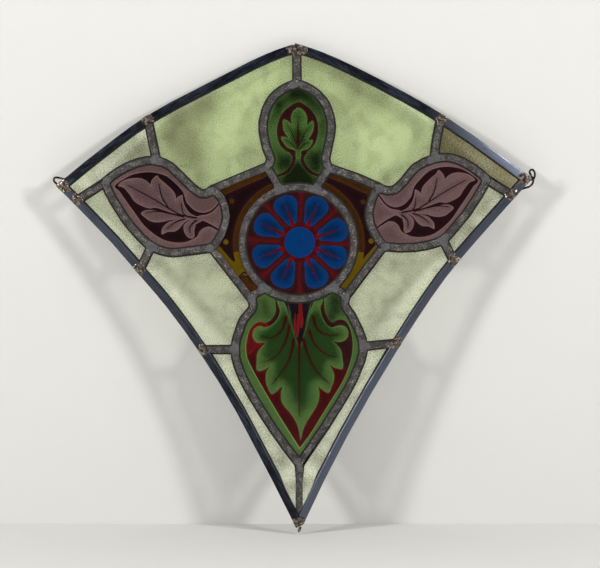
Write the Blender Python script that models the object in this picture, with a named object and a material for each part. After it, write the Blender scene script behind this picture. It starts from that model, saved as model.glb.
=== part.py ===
"""Leaded stained-glass tracery light: H-section lead cames holding pale and painted glass,
with a wire hanging loop at each side corner and a lump of solder at the foot.

The panel stands upright in the XZ plane and its front faces -Y. The origin is on the flat back
of the lead at the apex, where the panel bears on the rebate that it is fixed in.
"""
import math

import bmesh
import bpy
from mathutils import Vector

MM = 0.001

# Overall sizes of the panel, in millimetres, measured between the middles of the leads
RING_RADIUS = 56.0
LEFT_REACH = 236.0
RIGHT_REACH = 228.0
APEX_RISE = 194.8
FOOT_DROP = 281.1

# Lead cames
INNER_CAME_FACE = 7.0
EDGE_CAME_FACE = 8.0
HEART_THICKNESS = 1.6
FLANGE_THICKNESS = 1.3
BUTT_GAP = 0.3

# Glass
GLASS_THICKNESS = 3.0
GLASS_FACE_GAP = 0.3
GLASS_EDGE_GAP = 0.5
CRACK_GAP = 1.0

# Hanging wires and the solder at the foot
WIRE_DIAMETER = 2.4
WIRE_RESOLUTION = 2
FOOT_SOLDER_DROP = 9.0
FOOT_SOLDER_BLUNT = 2.0
FOOT_SOLDER_PROUD = 0.4

# How finely curves are cut into straight runs
STRAY_ALLOWED = 0.3
FINE_STEPS = 40
RING_RUNS = 40

# Limits that keep the sweep and the curve sound at very sharp bends and very close points
LEAST_MITRE = 0.3
LEAST_KNOT = 0.001
SHARP_FROM_DEGREES = 35.0

CHANNEL_HEIGHT = GLASS_THICKNESS + 2.0 * GLASS_FACE_GAP
CAME_DEPTH = CHANNEL_HEIGHT + 2.0 * FLANGE_THICKNESS
MID_DEPTH = -CAME_DEPTH / 2.0

# The ring's side and where leads meet: millimetres right of the ring's middle and above it, as
# drawn. The corners, the apex, the foot and the ring's side are stretched to the sizes above.
JOINTS_DRAWN = {
    "ring_side": (56.0, 0.0),
    "apex": (-1.2, 194.8),
    "foot": (0.9, -281.1),
    "left_corner": (-236.0, 57.0),
    "right_corner": (228.0, 64.0),
    "edge_upper_left": (-150.0, 123.0),
    "edge_upper_right": (143.5, 124.2),
    "edge_left_tip": (-221.0, 42.2),
    "edge_right_tip": (213.4, 47.7),
    "edge_lower_left": (-158.0, -26.4),
    "edge_lower_right": (155.6, -18.0),
    "edge_heart_left": (-95.1, -107.0),
    "edge_heart_right": (98.5, -100.5),
    "crown": (-1.0, 159.0),
    "fork_left": (-31.0, 76.0),
    "fork_right": (30.5, 75.0),
    "leaf_left_tip": (-193.0, 60.5),
    "leaf_right_tip": (189.0, 63.0),
    "leaf_left_top": (-141.3, 82.0),
    "leaf_right_top": (136.3, 84.2),
    "leaf_left_shoulder": (-86.0, 53.0),
    "leaf_right_shoulder": (80.0, 56.0),
    "leaf_left_heel": (-86.0, -5.0),
    "leaf_right_heel": (85.5, -3.5),
    "leaf_left_under": (-146.5, -3.3),
    "leaf_right_under": (145.0, 3.2),
    "knee_left": (-48.0, -54.0),
    "knee_right": (48.5, -52.5),
    "heart_left": (-62.7, -106.5),
    "heart_right": (65.2, -103.5),
    "heart_point": (1.5, -221.0),
}

# Where leads meet the ring: degrees round it from +X
RING_JOINTS = {
    "ring_upper_right": 72.0,
    "ring_upper_left": 108.5,
    "ring_lower_left": 233.5,
    "ring_lower_right": 307.5,
}

# Each lead as it was drawn: the joints it passes and the points that shape it between them.
# A lead is cut to butt against those above it in this list.
CAMES = {
    "edge_came_lower_left": ["left_corner", "edge_left_tip", (-180.2, -0.4), "edge_lower_left",
                             (-129.0, -60.5), "edge_heart_left", (-63.7, -157.0), (-25.3, -229.2),
                             "foot"],
    "edge_came_upper_right": ["apex", (30.4, 183.8), (102.1, 148.3), "edge_upper_right",
                              (184.6, 95.8), "right_corner"],
    "edge_came_upper_left": ["left_corner", (-193.5, 91.3), "edge_upper_left", (-98.2, 151.1),
                             (-26.4, 186.7), "apex"],
    "edge_came_lower_right": ["right_corner", "edge_right_tip", "edge_lower_right",
                              (132.5, -48.7), "edge_heart_right", (64.6, -157.0), (31.8, -217.3),
                              "foot"],
    "came_crown_left": ["crown", (-24.5, 145.7), (-34.8, 121.0), (-31.5, 95.5), (-27.2, 83.0),
                        "fork_left"],
    "came_crown_right": ["crown", (23.5, 144.2), (33.2, 119.0), (29.5, 94.0), (27.6, 83.0),
                         "fork_right"],
    "came_leaf_left_upper": ["leaf_left_tip", (-176.0, 73.1), (-156.0, 81.2), "leaf_left_top",
                             (-128.0, 76.7), (-113.0, 62.0), (-96.0, 49.0), "leaf_left_shoulder"],
    "came_leaf_right_upper": ["leaf_right_tip", (169.5, 78.2), (152.0, 85.0), "leaf_right_top",
                              (118.0, 75.7), (105.5, 61.0), (94.0, 52.2), "leaf_right_shoulder"],
    "came_leaf_left_lower": ["leaf_left_tip", (-181.2, 37.0), (-166.2, 15.8), "leaf_left_under",
                             (-128.0, -9.5), (-105.0, -7.2), "leaf_left_heel"],
    "came_leaf_right_lower": ["leaf_right_tip", (169.0, 30.4), (156.5, 15.5), "leaf_right_under",
                              (118.0, -4.2), "leaf_right_heel"],
    "came_leaf_left_inner": ["leaf_left_shoulder", (-77.5, 46.5), (-71.5, 27.0), (-77.5, 6.5),
                             "leaf_left_heel"],
    "came_leaf_right_inner": ["leaf_right_shoulder", (73.5, 42.0), (71.2, 24.0), "leaf_right_heel"],
    "came_heart_left": ["knee_left", (-44.9, -64.0), (-55.0, -78.0), "heart_left",
                        (-58.0, -128.0), (-33.8, -171.9), "heart_point"],
    "came_heart_right": ["knee_right", (46.5, -61.5), (54.0, -73.5), "heart_right",
                         (56.5, -133.0), (35.0, -170.8), "heart_point"],
    "came_apex_upright": ["apex", "crown"],
    "came_foot_upright": ["heart_point", "foot"],
    "came_neck_left": ["fork_left", "ring_upper_left"],
    "came_neck_right": ["fork_right", "ring_upper_right"],
    "came_diagonal_upper_left": ["fork_left", (-57.5, 65.0), "leaf_left_shoulder"],
    "came_diagonal_upper_right": ["fork_right", (62.0, 64.0), "leaf_right_shoulder"],
    "came_diagonal_lower_left": ["leaf_left_heel", "knee_left"],
    "came_diagonal_lower_right": ["leaf_right_heel", "knee_right"],
    "came_knee_left": ["knee_left", "ring_lower_left"],
    "came_knee_right": ["knee_right", "ring_lower_right"],
    "came_short_upper_left": ["edge_upper_left", "leaf_left_top"],
    "came_short_upper_right": ["edge_upper_right", (139.2, 108.0), "leaf_right_top"],
    "came_short_tip_left": ["edge_left_tip", "leaf_left_tip"],
    "came_short_tip_right": ["edge_right_tip", "leaf_right_tip"],
    "came_short_lower_left": ["leaf_left_under", "edge_lower_left"],
    "came_short_lower_right": ["leaf_right_under", "edge_lower_right"],
    "came_short_heart_left": ["edge_heart_left", "heart_left"],
    "came_short_heart_right": ["edge_heart_right", "heart_right"],
}

# Leads that run on past a joint, and how far as a share of their own half face. A lead whose
# share is below nothing stops short of the joint.
RUN_ON = {
    ("edge_came_lower_left", "left_corner"): 1.0,
    ("edge_came_upper_right", "apex"): 0.8,
    ("edge_came_upper_right", "right_corner"): 1.0,
    ("edge_came_lower_left", "foot"): 0.5,
    ("came_diagonal_upper_left", "leaf_left_shoulder"): -1.0,
}

# Each pane by the joints round it, and the glass it is cut from
PANES = {
    "glass_top_left": ("pale_glass", ["apex", "edge_upper_left", "leaf_left_top",
                                      "leaf_left_shoulder", "fork_left", "crown"]),
    "glass_top_right": ("pale_glass", ["apex", "crown", "fork_right", "leaf_right_shoulder",
                                       "leaf_right_top", "edge_upper_right"]),
    "glass_upper_left": ("pale_glass", ["edge_upper_left", "left_corner", "edge_left_tip",
                                        "leaf_left_tip", "leaf_left_top"]),
    "glass_upper_right": ("pale_glass", ["edge_upper_right", "leaf_right_top", "leaf_right_tip",
                                         "edge_right_tip", "right_corner"]),
    "glass_side_left": ("pale_glass", ["leaf_left_tip", "edge_left_tip", "edge_lower_left",
                                       "leaf_left_under"]),
    "glass_side_right": ("pale_glass", ["leaf_right_tip", "leaf_right_under", "edge_lower_right",
                                        "edge_right_tip"]),
    "glass_lower_left": ("pale_glass", ["leaf_left_under", "edge_lower_left", "edge_heart_left",
                                        "heart_left", "knee_left", "leaf_left_heel"]),
    "glass_lower_right": ("pale_glass", ["leaf_right_under", "leaf_right_heel", "knee_right",
                                         "heart_right", "edge_heart_right", "edge_lower_right"]),
    "glass_foot_left": ("pale_glass", ["edge_heart_left", "foot", "heart_point", "heart_left"]),
    "glass_foot_right": ("pale_glass", ["edge_heart_right", "heart_right", "heart_point", "foot"]),
    "glass_crown": ("green_glass", ["crown", "fork_left", "ring_upper_left", "ring_upper_right",
                                    "fork_right"]),
    "glass_leaf_left": ("purple_glass", ["leaf_left_tip", "leaf_left_under", "leaf_left_heel",
                                         "leaf_left_shoulder", "leaf_left_top"]),
    "glass_leaf_right": ("purple_glass", ["leaf_right_tip", "leaf_right_top",
                                          "leaf_right_shoulder", "leaf_right_heel",
                                          "leaf_right_under"]),
    "glass_spandrel_left": ("dark_glass", ["fork_left", "leaf_left_shoulder", "leaf_left_heel",
                                           "knee_left", "ring_lower_left", "ring_upper_left"]),
    "glass_spandrel_right": ("dark_glass", ["fork_right", "ring_upper_right", "ring_lower_right",
                                            "knee_right", "leaf_right_heel",
                                            "leaf_right_shoulder"]),
    "glass_heart": ("green_glass", ["knee_left", "heart_left", "heart_point", "heart_right",
                                    "knee_right", "ring_lower_right", "ring_lower_left"]),
}

# The crack across the foot of the left spandrel, as drawn
CRACK = [(-75.0, -38.0), (-61.5, -35.5), (-54.5, -29.2), (-48.0, -31.5), (-20.0, -31.5)]

# Each wire's eye, from the groove of the lead that runs on at the corner to the groove of the
# lead that butts there: millimetres right of the corner joint, above it and forward of mid depth
LOOP_EYES = {
    "wire_loop_left": ("left_corner", "edge_came_lower_left", "edge_came_upper_left",
                       [(-5.0, 1.8, 0.2), (-7.9, 4.7, 0.3), (-8.2, 7.2, 0.0), (-6.4, 8.6, -0.2),
                        (-3.6, 8.3, -0.3), (-0.4, 7.6, -0.2), (3.4, 6.9, 0.0)]),
    "wire_loop_right": ("right_corner", "edge_came_upper_right", "edge_came_lower_right",
                        [(4.6, -0.5, 0.2), (7.0, -0.6, 1.25), (8.6, 2.5, 1.25), (8.6, 6.6, 0.6),
                         (6.3, 9.6, 0.0), (3.6, 8.0, -0.6), (4.7, 4.3, -1.1), (7.2, 0.3, -1.3),
                         (7.0, -4.0, -1.2), (3.9, -7.4, -0.5), (-1.2, -9.0, 0.0)]),
}
TAIL_IN_RUNNING_LEAD = (14.0, 7.0, 0.0)
TAIL_IN_BUTTING_LEAD = (13.0, 19.0)


def stretch(value, drawn_inner, inner, drawn_outer, outer):
    """Stretch a drawn distance: in proportion inside the ring, evenly from the ring outwards."""
    size = abs(value)
    if size <= drawn_inner:
        return value * inner / drawn_inner
    share = (size - drawn_inner) / (drawn_outer - drawn_inner)
    return math.copysign(inner + share * (outer - inner), value)


def place(drawn):
    """Turn a drawn point into the panel's own millimetres, with the apex joint at the origin."""
    x, z = drawn
    radius = JOINTS_DRAWN["ring_side"][0]
    corner, side = ("left_corner", LEFT_REACH) if x < 0.0 else ("right_corner", RIGHT_REACH)
    summit, end = ("foot", FOOT_DROP) if z < 0.0 else ("apex", APEX_RISE)
    drawn_side = abs(JOINTS_DRAWN[corner][0])
    drawn_end = abs(JOINTS_DRAWN[summit][1])
    return Vector((stretch(x, radius, RING_RADIUS, drawn_side, side),
                   stretch(z, radius, RING_RADIUS, drawn_end, end) - APEX_RISE))


def ring_point(degrees):
    """A point on the middle of the ring's lead."""
    angle = math.radians(degrees)
    middle = place((0.0, 0.0))
    return middle + RING_RADIUS * Vector((math.cos(angle), math.sin(angle)))


def joint_places():
    """Every joint's place in the panel."""
    places = {name: place(drawn) for name, drawn in JOINTS_DRAWN.items()}
    for name, degrees in RING_JOINTS.items():
        places[name] = ring_point(degrees)
    return places


def smooth_spans(points):
    """A smooth curve through the points, as one list of closely spaced points for each span."""
    ends = [before_end(points)] + points + [before_end(points[::-1])]
    spans = []
    for index in range(1, len(ends) - 2):
        spans.append(centripetal_span(*ends[index - 1:index + 3]))
    return spans


def before_end(points):
    """A point before the first that carries the bend of the line's first two runs on."""
    first, second = points[:2]
    if len(points) == 2:
        return first * 2.0 - second
    along = (second - first).normalized()
    return points[2] - along * 2.0 * (points[2] - (first + second) / 2.0).dot(along)


def centripetal_span(before, start, end, after):
    """Closely spaced points from start to end on a centripetal Catmull-Rom curve."""
    knots = [0.0]
    for first, second in ((before, start), (start, end), (end, after)):
        knots.append(knots[-1] + max(math.sqrt((second - first).length), LEAST_KNOT))
    t0, t1, t2, t3 = knots
    points = []
    for step in range(FINE_STEPS + 1):
        t = t1 + (t2 - t1) * step / FINE_STEPS
        a1 = before * ((t1 - t) / (t1 - t0)) + start * ((t - t0) / (t1 - t0))
        a2 = start * ((t2 - t) / (t2 - t1)) + end * ((t - t1) / (t2 - t1))
        a3 = end * ((t3 - t) / (t3 - t2)) + after * ((t - t2) / (t3 - t2))
        b1 = a1 * ((t2 - t) / (t2 - t0)) + a2 * ((t - t0) / (t2 - t0))
        b2 = a2 * ((t3 - t) / (t3 - t1)) + a3 * ((t - t1) / (t3 - t1))
        points.append(b1 * ((t2 - t) / (t2 - t1)) + b2 * ((t - t1) / (t2 - t1)))
    return points


def straighten(points):
    """Keep both ends and only as many points between them as keep the line true."""
    if len(points) < 3:
        return list(points)
    chord = (points[-1] - points[0]).normalized()
    strays = [abs((point - points[0]).cross(chord)) for point in points]
    farthest = strays.index(max(strays))
    if strays[farthest] < STRAY_ALLOWED:
        return [points[0], points[-1]]
    return straighten(points[:farthest + 1])[:-1] + straighten(points[farthest:])


def draw_lines(places):
    """Each lead's centreline, and the stretch of it between each pair of neighbouring joints."""
    lines = {}
    stretches = {}
    for name, route in CAMES.items():
        anchors = [places[stop] if isinstance(stop, str) else place(stop) for stop in route]
        spans = smooth_spans(anchors)
        line = [anchors[0]]
        since_joint = [anchors[0]]
        last_joint = route[0] if isinstance(route[0], str) else None
        for stop, span in zip(route[1:], spans):
            since_joint.extend(span[1:])
            if isinstance(stop, str):
                kept = straighten(since_joint)
                line.extend(kept[1:])
                if last_joint:
                    stretches[last_joint, stop] = kept
                last_joint = stop
                since_joint = [span[-1]]
        if len(since_joint) > 1:
            line.extend(straighten(since_joint)[1:])
        lines[name] = line
    draw_ring_stretches(places, stretches)
    return lines, stretches


def draw_ring_stretches(places, stretches):
    """The arcs of the ring between the leads that meet it."""
    names = sorted(RING_JOINTS, key=RING_JOINTS.get)
    for first, second in zip(names, names[1:] + names[:1]):
        start = RING_JOINTS[first]
        sweep = (RING_JOINTS[second] - start) % 360.0
        runs = max(1, round(RING_RUNS * sweep / 360.0))
        arc = [ring_point(start + sweep * run / runs) for run in range(1, runs)]
        stretches[first, second] = [places[first]] + arc + [places[second]]


def stretch_between(stretches, first, second):
    """The line from one joint to the next, whichever way it was drawn."""
    if (first, second) in stretches:
        return stretches[first, second]
    return stretches[second, first][::-1]


def side_steps(line, closed=False):
    """At each point of a line, the step that moves sideways by one, mitred at the bends."""
    steps = []
    count = len(line)
    for index, point in enumerate(line):
        before = line[index - 1] if closed or index > 0 else None
        after = line[(index + 1) % count] if closed or index < count - 1 else None
        incoming = (point - before).normalized() if before is not None else None
        outgoing = (after - point).normalized() if after is not None else None
        incoming = incoming or outgoing
        outgoing = outgoing or incoming
        along = (incoming + outgoing).normalized()
        side = Vector((-along.y, along.x))
        steps.append(side / max(side.dot(Vector((-incoming.y, incoming.x))), LEAST_MITRE))
    return steps


def lengthened(line, at_start, at_end):
    """The line with its ends moved straight on by the given lengths."""
    longer = [point.copy() for point in line]
    longer[0] += (line[0] - line[1]).normalized() * at_start
    longer[-1] += (line[-1] - line[-2]).normalized() * at_end
    return longer


def world(point, depth):
    """A drawn place and a depth from the back plane, in metres."""
    return Vector((point.x * MM, depth * MM, point.y * MM))


def sweep(name, line, profile, closed=False):
    """Sweep a closed profile of (side, depth) corners along a line."""
    mesh = bmesh.new()
    rings = []
    for point, side in zip(line, side_steps(line, closed)):
        rings.append([mesh.verts.new(world(point + side * across, depth))
                      for across, depth in profile])
    pairs = list(zip(rings, rings[1:]))
    if closed:
        pairs.append((rings[-1], rings[0]))
    for first, second in pairs:
        for corner in range(len(profile)):
            following = (corner + 1) % len(profile)
            mesh.faces.new((first[corner], first[following], second[following], second[corner]))
    if not closed:
        mesh.faces.new(rings[0])
        mesh.faces.new(rings[-1][::-1])
    bmesh.ops.recalc_face_normals(mesh, faces=mesh.faces[:])
    return new_object(name, mesh)


def new_object(name, mesh):
    """Make an object of a finished bmesh."""
    data = bpy.data.meshes.new(name)
    mesh.to_mesh(data)
    mesh.free()
    made = bpy.data.objects.new(name, data)
    bpy.context.scene.collection.objects.link(made)
    return made


def came_profile(face):
    """The H section of a lead came: two faces joined by a heart."""
    half = face / 2.0
    heart = HEART_THICKNESS / 2.0
    back_inside = -FLANGE_THICKNESS
    front_inside = -CAME_DEPTH + FLANGE_THICKNESS
    return [(-half, 0.0), (half, 0.0), (half, back_inside), (heart, back_inside),
            (heart, front_inside), (half, front_inside), (half, -CAME_DEPTH),
            (-half, -CAME_DEPTH), (-half, front_inside), (-heart, front_inside),
            (-heart, back_inside), (-half, back_inside)]


def block_profile(half_width):
    """A plain block through the whole depth and past both faces, for cutting."""
    beyond = CAME_DEPTH
    return [(-half_width, beyond), (half_width, beyond), (half_width, -CAME_DEPTH - beyond),
            (-half_width, -CAME_DEPTH - beyond)]


def face_of(name):
    """The face width of a lead."""
    return EDGE_CAME_FACE if name.startswith("edge_") else INNER_CAME_FACE


def make_cutter(name, line, half_width, closed=False):
    """A hidden block that follows a lead and makes room for it in its neighbours."""
    cutter = sweep(name, line, block_profile(half_width), closed)
    cutter.hide_render = True
    cutter.display_type = "WIRE"
    return cutter


def cut(target, cutters):
    """Cut a piece back from each of its neighbours."""
    for cutter in cutters:
        boolean = target.modifiers.new("clear of a neighbour", "BOOLEAN")
        boolean.operation = "DIFFERENCE"
        boolean.solver = "EXACT"
        boolean.object = cutter


def make_material(name, colour, roughness, metallic=0.0, transmission=0.0):
    """A plain Principled finish."""
    material = bpy.data.materials.new(name)
    material.use_nodes = True
    shader = material.node_tree.nodes["Principled BSDF"]
    shader.inputs["Base Color"].default_value = (*colour, 1.0)
    shader.inputs["Roughness"].default_value = roughness
    shader.inputs["Metallic"].default_value = metallic
    shader.inputs["Transmission Weight"].default_value = transmission
    return material


def make_materials():
    """The finishes, by the names used above."""
    return {
        "inner_lead": make_material("oxidised lead", (0.15, 0.15, 0.16), 0.6, 0.6),
        "edge_lead": make_material("new edge lead", (0.06, 0.07, 0.11), 0.4, 0.8),
        "wire": make_material("tinned copper wire", (0.10, 0.09, 0.08), 0.35, 0.9),
        "solder": make_material("solder", (0.20, 0.18, 0.16), 0.3, 0.9),
        "pale_glass": make_material("pale green glass", (0.48, 0.58, 0.32), 0.15, 0.0, 0.6),
        "green_glass": make_material("painted green glass", (0.08, 0.19, 0.05), 0.15, 0.0, 0.4),
        "purple_glass": make_material("painted purple glass", (0.15, 0.06, 0.07), 0.2, 0.0, 0.3),
        "dark_glass": make_material("painted dark red glass", (0.04, 0.01, 0.015), 0.2, 0.0, 0.3),
        "rosette_glass": make_material("painted ruby glass", (0.12, 0.02, 0.03), 0.2, 0.0, 0.3),
    }


def neighbours_above(name):
    """The leads earlier in the list that share a joint with this one, and the ring."""
    own = {stop for stop in CAMES[name] if isinstance(stop, str)}
    above = ["came_ring"] if own & set(RING_JOINTS) else []
    for other, route in CAMES.items():
        if other == name:
            break
        if own & {stop for stop in route if isinstance(stop, str)}:
            above.append(other)
    return above


def room_past_end(name, joint):
    """How far past a lead's end its neighbours are cut away. At the apex the two edge leads meet
    end to end, so that only the gap is."""
    if not name.startswith("edge_"):
        return HEART_THICKNESS
    return BUTT_GAP if joint == "apex" else EDGE_CAME_FACE


def make_cames(lines, materials):
    """The lead cames, each cut to butt against the leads that run past its ends."""
    made = {}
    ring = [ring_point(360.0 * run / RING_RUNS) for run in range(RING_RUNS)]
    made["came_ring"] = sweep("came_ring", ring, came_profile(INNER_CAME_FACE), closed=True)
    cutters = {"came_ring": make_cutter("room_for_ring", ring,
                                        INNER_CAME_FACE / 2.0 + BUTT_GAP, closed=True)}
    for name, line in lines.items():
        half = face_of(name) / 2.0
        start = half * RUN_ON.get((name, CAMES[name][0]), 0.0)
        end = half * RUN_ON.get((name, CAMES[name][-1]), 0.0)
        full = lengthened(line, start, end)
        made[name] = sweep(name, full, came_profile(face_of(name)))
        room = lengthened(full, room_past_end(name, CAMES[name][0]),
                          room_past_end(name, CAMES[name][-1]))
        cutters[name] = make_cutter("room_for_" + name, room, half + BUTT_GAP)
    for name in lines:
        cut(made[name], [cutters[other] for other in neighbours_above(name)])
    for name, came in made.items():
        came.data.materials.append(materials["edge_lead" if name.startswith("edge_")
                                             else "inner_lead"])
    return made


def flat_plate(name, outline, back, front):
    """A plate of the given outline between two depths."""
    mesh = bmesh.new()
    face = mesh.faces.new([mesh.verts.new(world(point, back)) for point in outline])
    grown = bmesh.ops.extrude_face_region(mesh, geom=[face])
    moved = [item for item in grown["geom"] if isinstance(item, bmesh.types.BMVert)]
    bmesh.ops.translate(mesh, verts=moved, vec=Vector((0.0, (front - back) * MM, 0.0)))
    bmesh.ops.recalc_face_normals(mesh, faces=mesh.faces[:])
    return new_object(name, mesh)


def inset_outline(outline, inset):
    """The outline moved inwards, with stretches too short for their corner taken out."""
    area = sum(a.x * b.y - b.x * a.y for a, b in zip(outline, outline[1:] + outline[:1]))
    inward = 1.0 if area > 0.0 else -1.0
    sides = side_steps(outline, closed=True)
    moved = [point + side * inset * inward for point, side in zip(outline, sides)]
    return drop_folded(outline, moved)


def drop_folded(outline, moved):
    """Leave out points whose stretch turned back on itself when it was moved inwards."""
    kept = list(range(len(outline)))
    folded = True
    while folded:
        folded = False
        for place, index in enumerate(kept):
            following = kept[(place + 1) % len(kept)]
            before = outline[following] - outline[index]
            after = moved[following] - moved[index]
            if before.dot(after) <= 0.0:
                corner = sharper(outline, kept, place)
                kept.remove(corner)
                folded = True
                break
    return [moved[index] for index in kept]


def sharper(outline, kept, place):
    """Of a folded stretch's two ends, the one that lies on a gentler bend and can go."""
    def bend(at):
        here = outline[kept[at % len(kept)]]
        before = (here - outline[kept[(at - 1) % len(kept)]]).normalized()
        after = (outline[kept[(at + 1) % len(kept)]] - here).normalized()
        return before.dot(after)
    return kept[place] if bend(place) > bend(place + 1) else kept[(place + 1) % len(kept)]


def pane_outline(stretches, joints):
    """The closed line along the middles of the leads round a pane."""
    outline = []
    for first, second in zip(joints, joints[1:] + joints[:1]):
        outline.extend(stretch_between(stretches, first, second)[:-1])
    return outline


def make_panes(stretches, materials):
    """The panes, each cut to sit in the grooves of the leads round it."""
    inset = HEART_THICKNESS / 2.0 + GLASS_EDGE_GAP
    back = MID_DEPTH + GLASS_THICKNESS / 2.0
    front = MID_DEPTH - GLASS_THICKNESS / 2.0
    made = {}
    for name, (glass, joints) in PANES.items():
        outline = inset_outline(pane_outline(stretches, joints), inset)
        made[name] = flat_plate(name, outline, back, front)
        made[name].data.materials.append(materials[glass])
    middle = place((0.0, 0.0))
    rosette = [middle + (ring_point(360.0 * run / RING_RUNS) - middle)
               * ((RING_RADIUS - inset) / RING_RADIUS) for run in range(RING_RUNS)]
    made["glass_rosette"] = flat_plate("glass_rosette", rosette, back, front)
    made["glass_rosette"].data.materials.append(materials["rosette_glass"])
    crack_spandrel(made, materials, back, front)
    return made


def crack_spandrel(made, materials, back, front):
    """Part the foot of the left spandrel along its crack, as a fragment of its own."""
    line = [place(point) for point in CRACK]
    reach = RING_RADIUS + APEX_RISE
    line = [line[0] - Vector((reach, 0.0))] + line + [line[-1] + Vector((RING_RADIUS, 0.0))]
    above = line + [line[-1] + Vector((0.0, reach)), line[0] + Vector((0.0, reach))]
    below = line + [line[-1] - Vector((0.0, reach)), line[0] - Vector((0.0, reach))]
    whole = made["glass_spandrel_left"]
    fragment = new_copy(whole, "glass_spandrel_left_fragment")
    half_gap = Vector((0.0, CRACK_GAP / 2.0))
    for target, outline, shift in ((whole, below, half_gap), (fragment, above, -half_gap)):
        cutter = flat_plate("room_at_crack_" + target.name, [point + shift for point in outline],
                            back + GLASS_THICKNESS, front - GLASS_THICKNESS)
        cutter.hide_render = True
        cutter.display_type = "WIRE"
        cut(target, [cutter])
    made[fragment.name] = fragment


def new_copy(source, name):
    """A copy of an object with its own mesh."""
    made = bpy.data.objects.new(name, source.data.copy())
    bpy.context.scene.collection.objects.link(made)
    return made


def groove_point(line, corner, distance):
    """The middle of a wire that lies in a lead's outer groove, this far from the corner."""
    ordered = line if (line[0] - corner).length < (line[-1] - corner).length else line[::-1]
    here = ordered[0]
    left = distance
    for following in ordered[1:]:
        run = following - here
        if left <= run.length:
            break
        left -= run.length
        here = following
    along = run.normalized()
    outwards = Vector((-along.y, along.x))
    if outwards.dot(corner - place((0.0, 0.0))) < 0.0:
        outwards = -outwards
    offset = HEART_THICKNESS / 2.0 + BUTT_GAP + WIRE_DIAMETER / 2.0
    point = here + along * left + outwards * offset
    return Vector((point.x, point.y, 0.0))


def make_wire(name, places, lines, material):
    """A hanging wire: both tails lie in the leads' outer grooves and an eye stands at the corner."""
    corner_name, running, butting, eye = LOOP_EYES[name]
    corner = places[corner_name]
    route = [groove_point(lines[running], corner, distance) for distance in TAIL_IN_RUNNING_LEAD]
    route += [Vector((corner.x + x, corner.y + z, forward)) for x, z, forward in eye]
    route += [groove_point(lines[butting], corner, distance) for distance in TAIL_IN_BUTTING_LEAD]
    line = [route[0]]
    for span in smooth_spans(route):
        line.extend(span[FINE_STEPS // 2::FINE_STEPS // 2])
    curve = bpy.data.curves.new(name, "CURVE")
    curve.dimensions = "3D"
    curve.bevel_depth = WIRE_DIAMETER / 2.0 * MM
    curve.bevel_resolution = WIRE_RESOLUTION
    curve.use_fill_caps = True
    spline = curve.splines.new("POLY")
    spline.points.add(len(line) - 1)
    for spot, point in zip(spline.points, line):
        spot.co = (point.x * MM, (MID_DEPTH - point.z) * MM, point.y * MM, 1.0)
    made = bpy.data.objects.new(name, curve)
    made.data.materials.append(material)
    bpy.context.scene.collection.objects.link(made)


def make_foot_solder(lines, material):
    """The lump of solder that closes the point under the lead that runs on at the foot."""
    name = "edge_came_lower_left"
    line = lines[name]
    half = EDGE_CAME_FACE / 2.0
    down = (line[-1] - line[-2]).normalized()
    across = Vector((-down.y, down.x)) * half
    top = line[-1] + down * (half * RUN_ON[name, "foot"] + BUTT_GAP)
    tip = line[-1] - Vector((0.0, FOOT_SOLDER_DROP))
    blunt = Vector((FOOT_SOLDER_BLUNT / 2.0, 0.0))
    outline = [top + across, top - across, tip - blunt, tip + blunt]
    lump = flat_plate("solder_foot", outline, FOOT_SOLDER_PROUD,
                      -CAME_DEPTH - FOOT_SOLDER_PROUD)
    lump.data.materials.append(material)


def shade_round(pieces):
    """Shade the long curved runs smooth and keep the section's corners sharp."""
    for piece in pieces:
        if piece.type == "MESH":
            piece.data.shade_smooth()
            piece.data.set_sharp_from_angle(angle=math.radians(SHARP_FROM_DEGREES))


def main():
    """Build the panel."""
    for item in list(bpy.data.objects):
        bpy.data.objects.remove(item, do_unlink=True)
    materials = make_materials()
    places = joint_places()
    lines, stretches = draw_lines(places)
    cames = make_cames(lines, materials)
    panes = make_panes(stretches, materials)
    for name in LOOP_EYES:
        make_wire(name, places, lines, materials["wire"])
    make_foot_solder(lines, materials["solder"])
    shade_round(list(cames.values()) + list(panes.values()))


main()
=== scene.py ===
"""Looks of the leaded stained-glass panel: dressed lead, solder, cement, wires and painted glass.

Flat places are given on the cartoon, the full-size drawing that the panel was made from: in
millimetres to the right of the sheet's left edge and down from its top edge.
"""
import math

import bmesh
import bpy
import numpy as np
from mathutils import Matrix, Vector, geometry, noise
from mathutils.bvhtree import BVHTree


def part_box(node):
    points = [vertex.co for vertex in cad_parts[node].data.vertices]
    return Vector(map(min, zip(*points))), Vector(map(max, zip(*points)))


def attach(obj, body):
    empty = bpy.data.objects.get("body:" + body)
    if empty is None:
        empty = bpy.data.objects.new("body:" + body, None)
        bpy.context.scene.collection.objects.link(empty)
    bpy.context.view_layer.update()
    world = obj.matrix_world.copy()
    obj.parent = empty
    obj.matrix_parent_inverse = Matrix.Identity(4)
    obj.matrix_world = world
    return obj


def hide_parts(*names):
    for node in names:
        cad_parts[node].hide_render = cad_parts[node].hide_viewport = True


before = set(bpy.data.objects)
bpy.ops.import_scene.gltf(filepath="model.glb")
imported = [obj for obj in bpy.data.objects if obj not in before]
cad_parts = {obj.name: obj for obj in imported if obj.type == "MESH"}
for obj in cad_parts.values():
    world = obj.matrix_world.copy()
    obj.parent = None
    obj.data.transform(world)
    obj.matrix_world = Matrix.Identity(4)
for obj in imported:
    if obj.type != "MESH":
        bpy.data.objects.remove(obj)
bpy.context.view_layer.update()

bl_info = {
    "name": "Leaded Glass Panel",
    "version": (1, 0, 0),
    "blender": (4, 5, 0),
    "location": "View3D > Sidebar > Glass Panel",
    "description": "Dresses a leaded stained-glass panel with lead, solder, cement and painted glass",
    "category": "Object",
}

MM = 0.001

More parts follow.
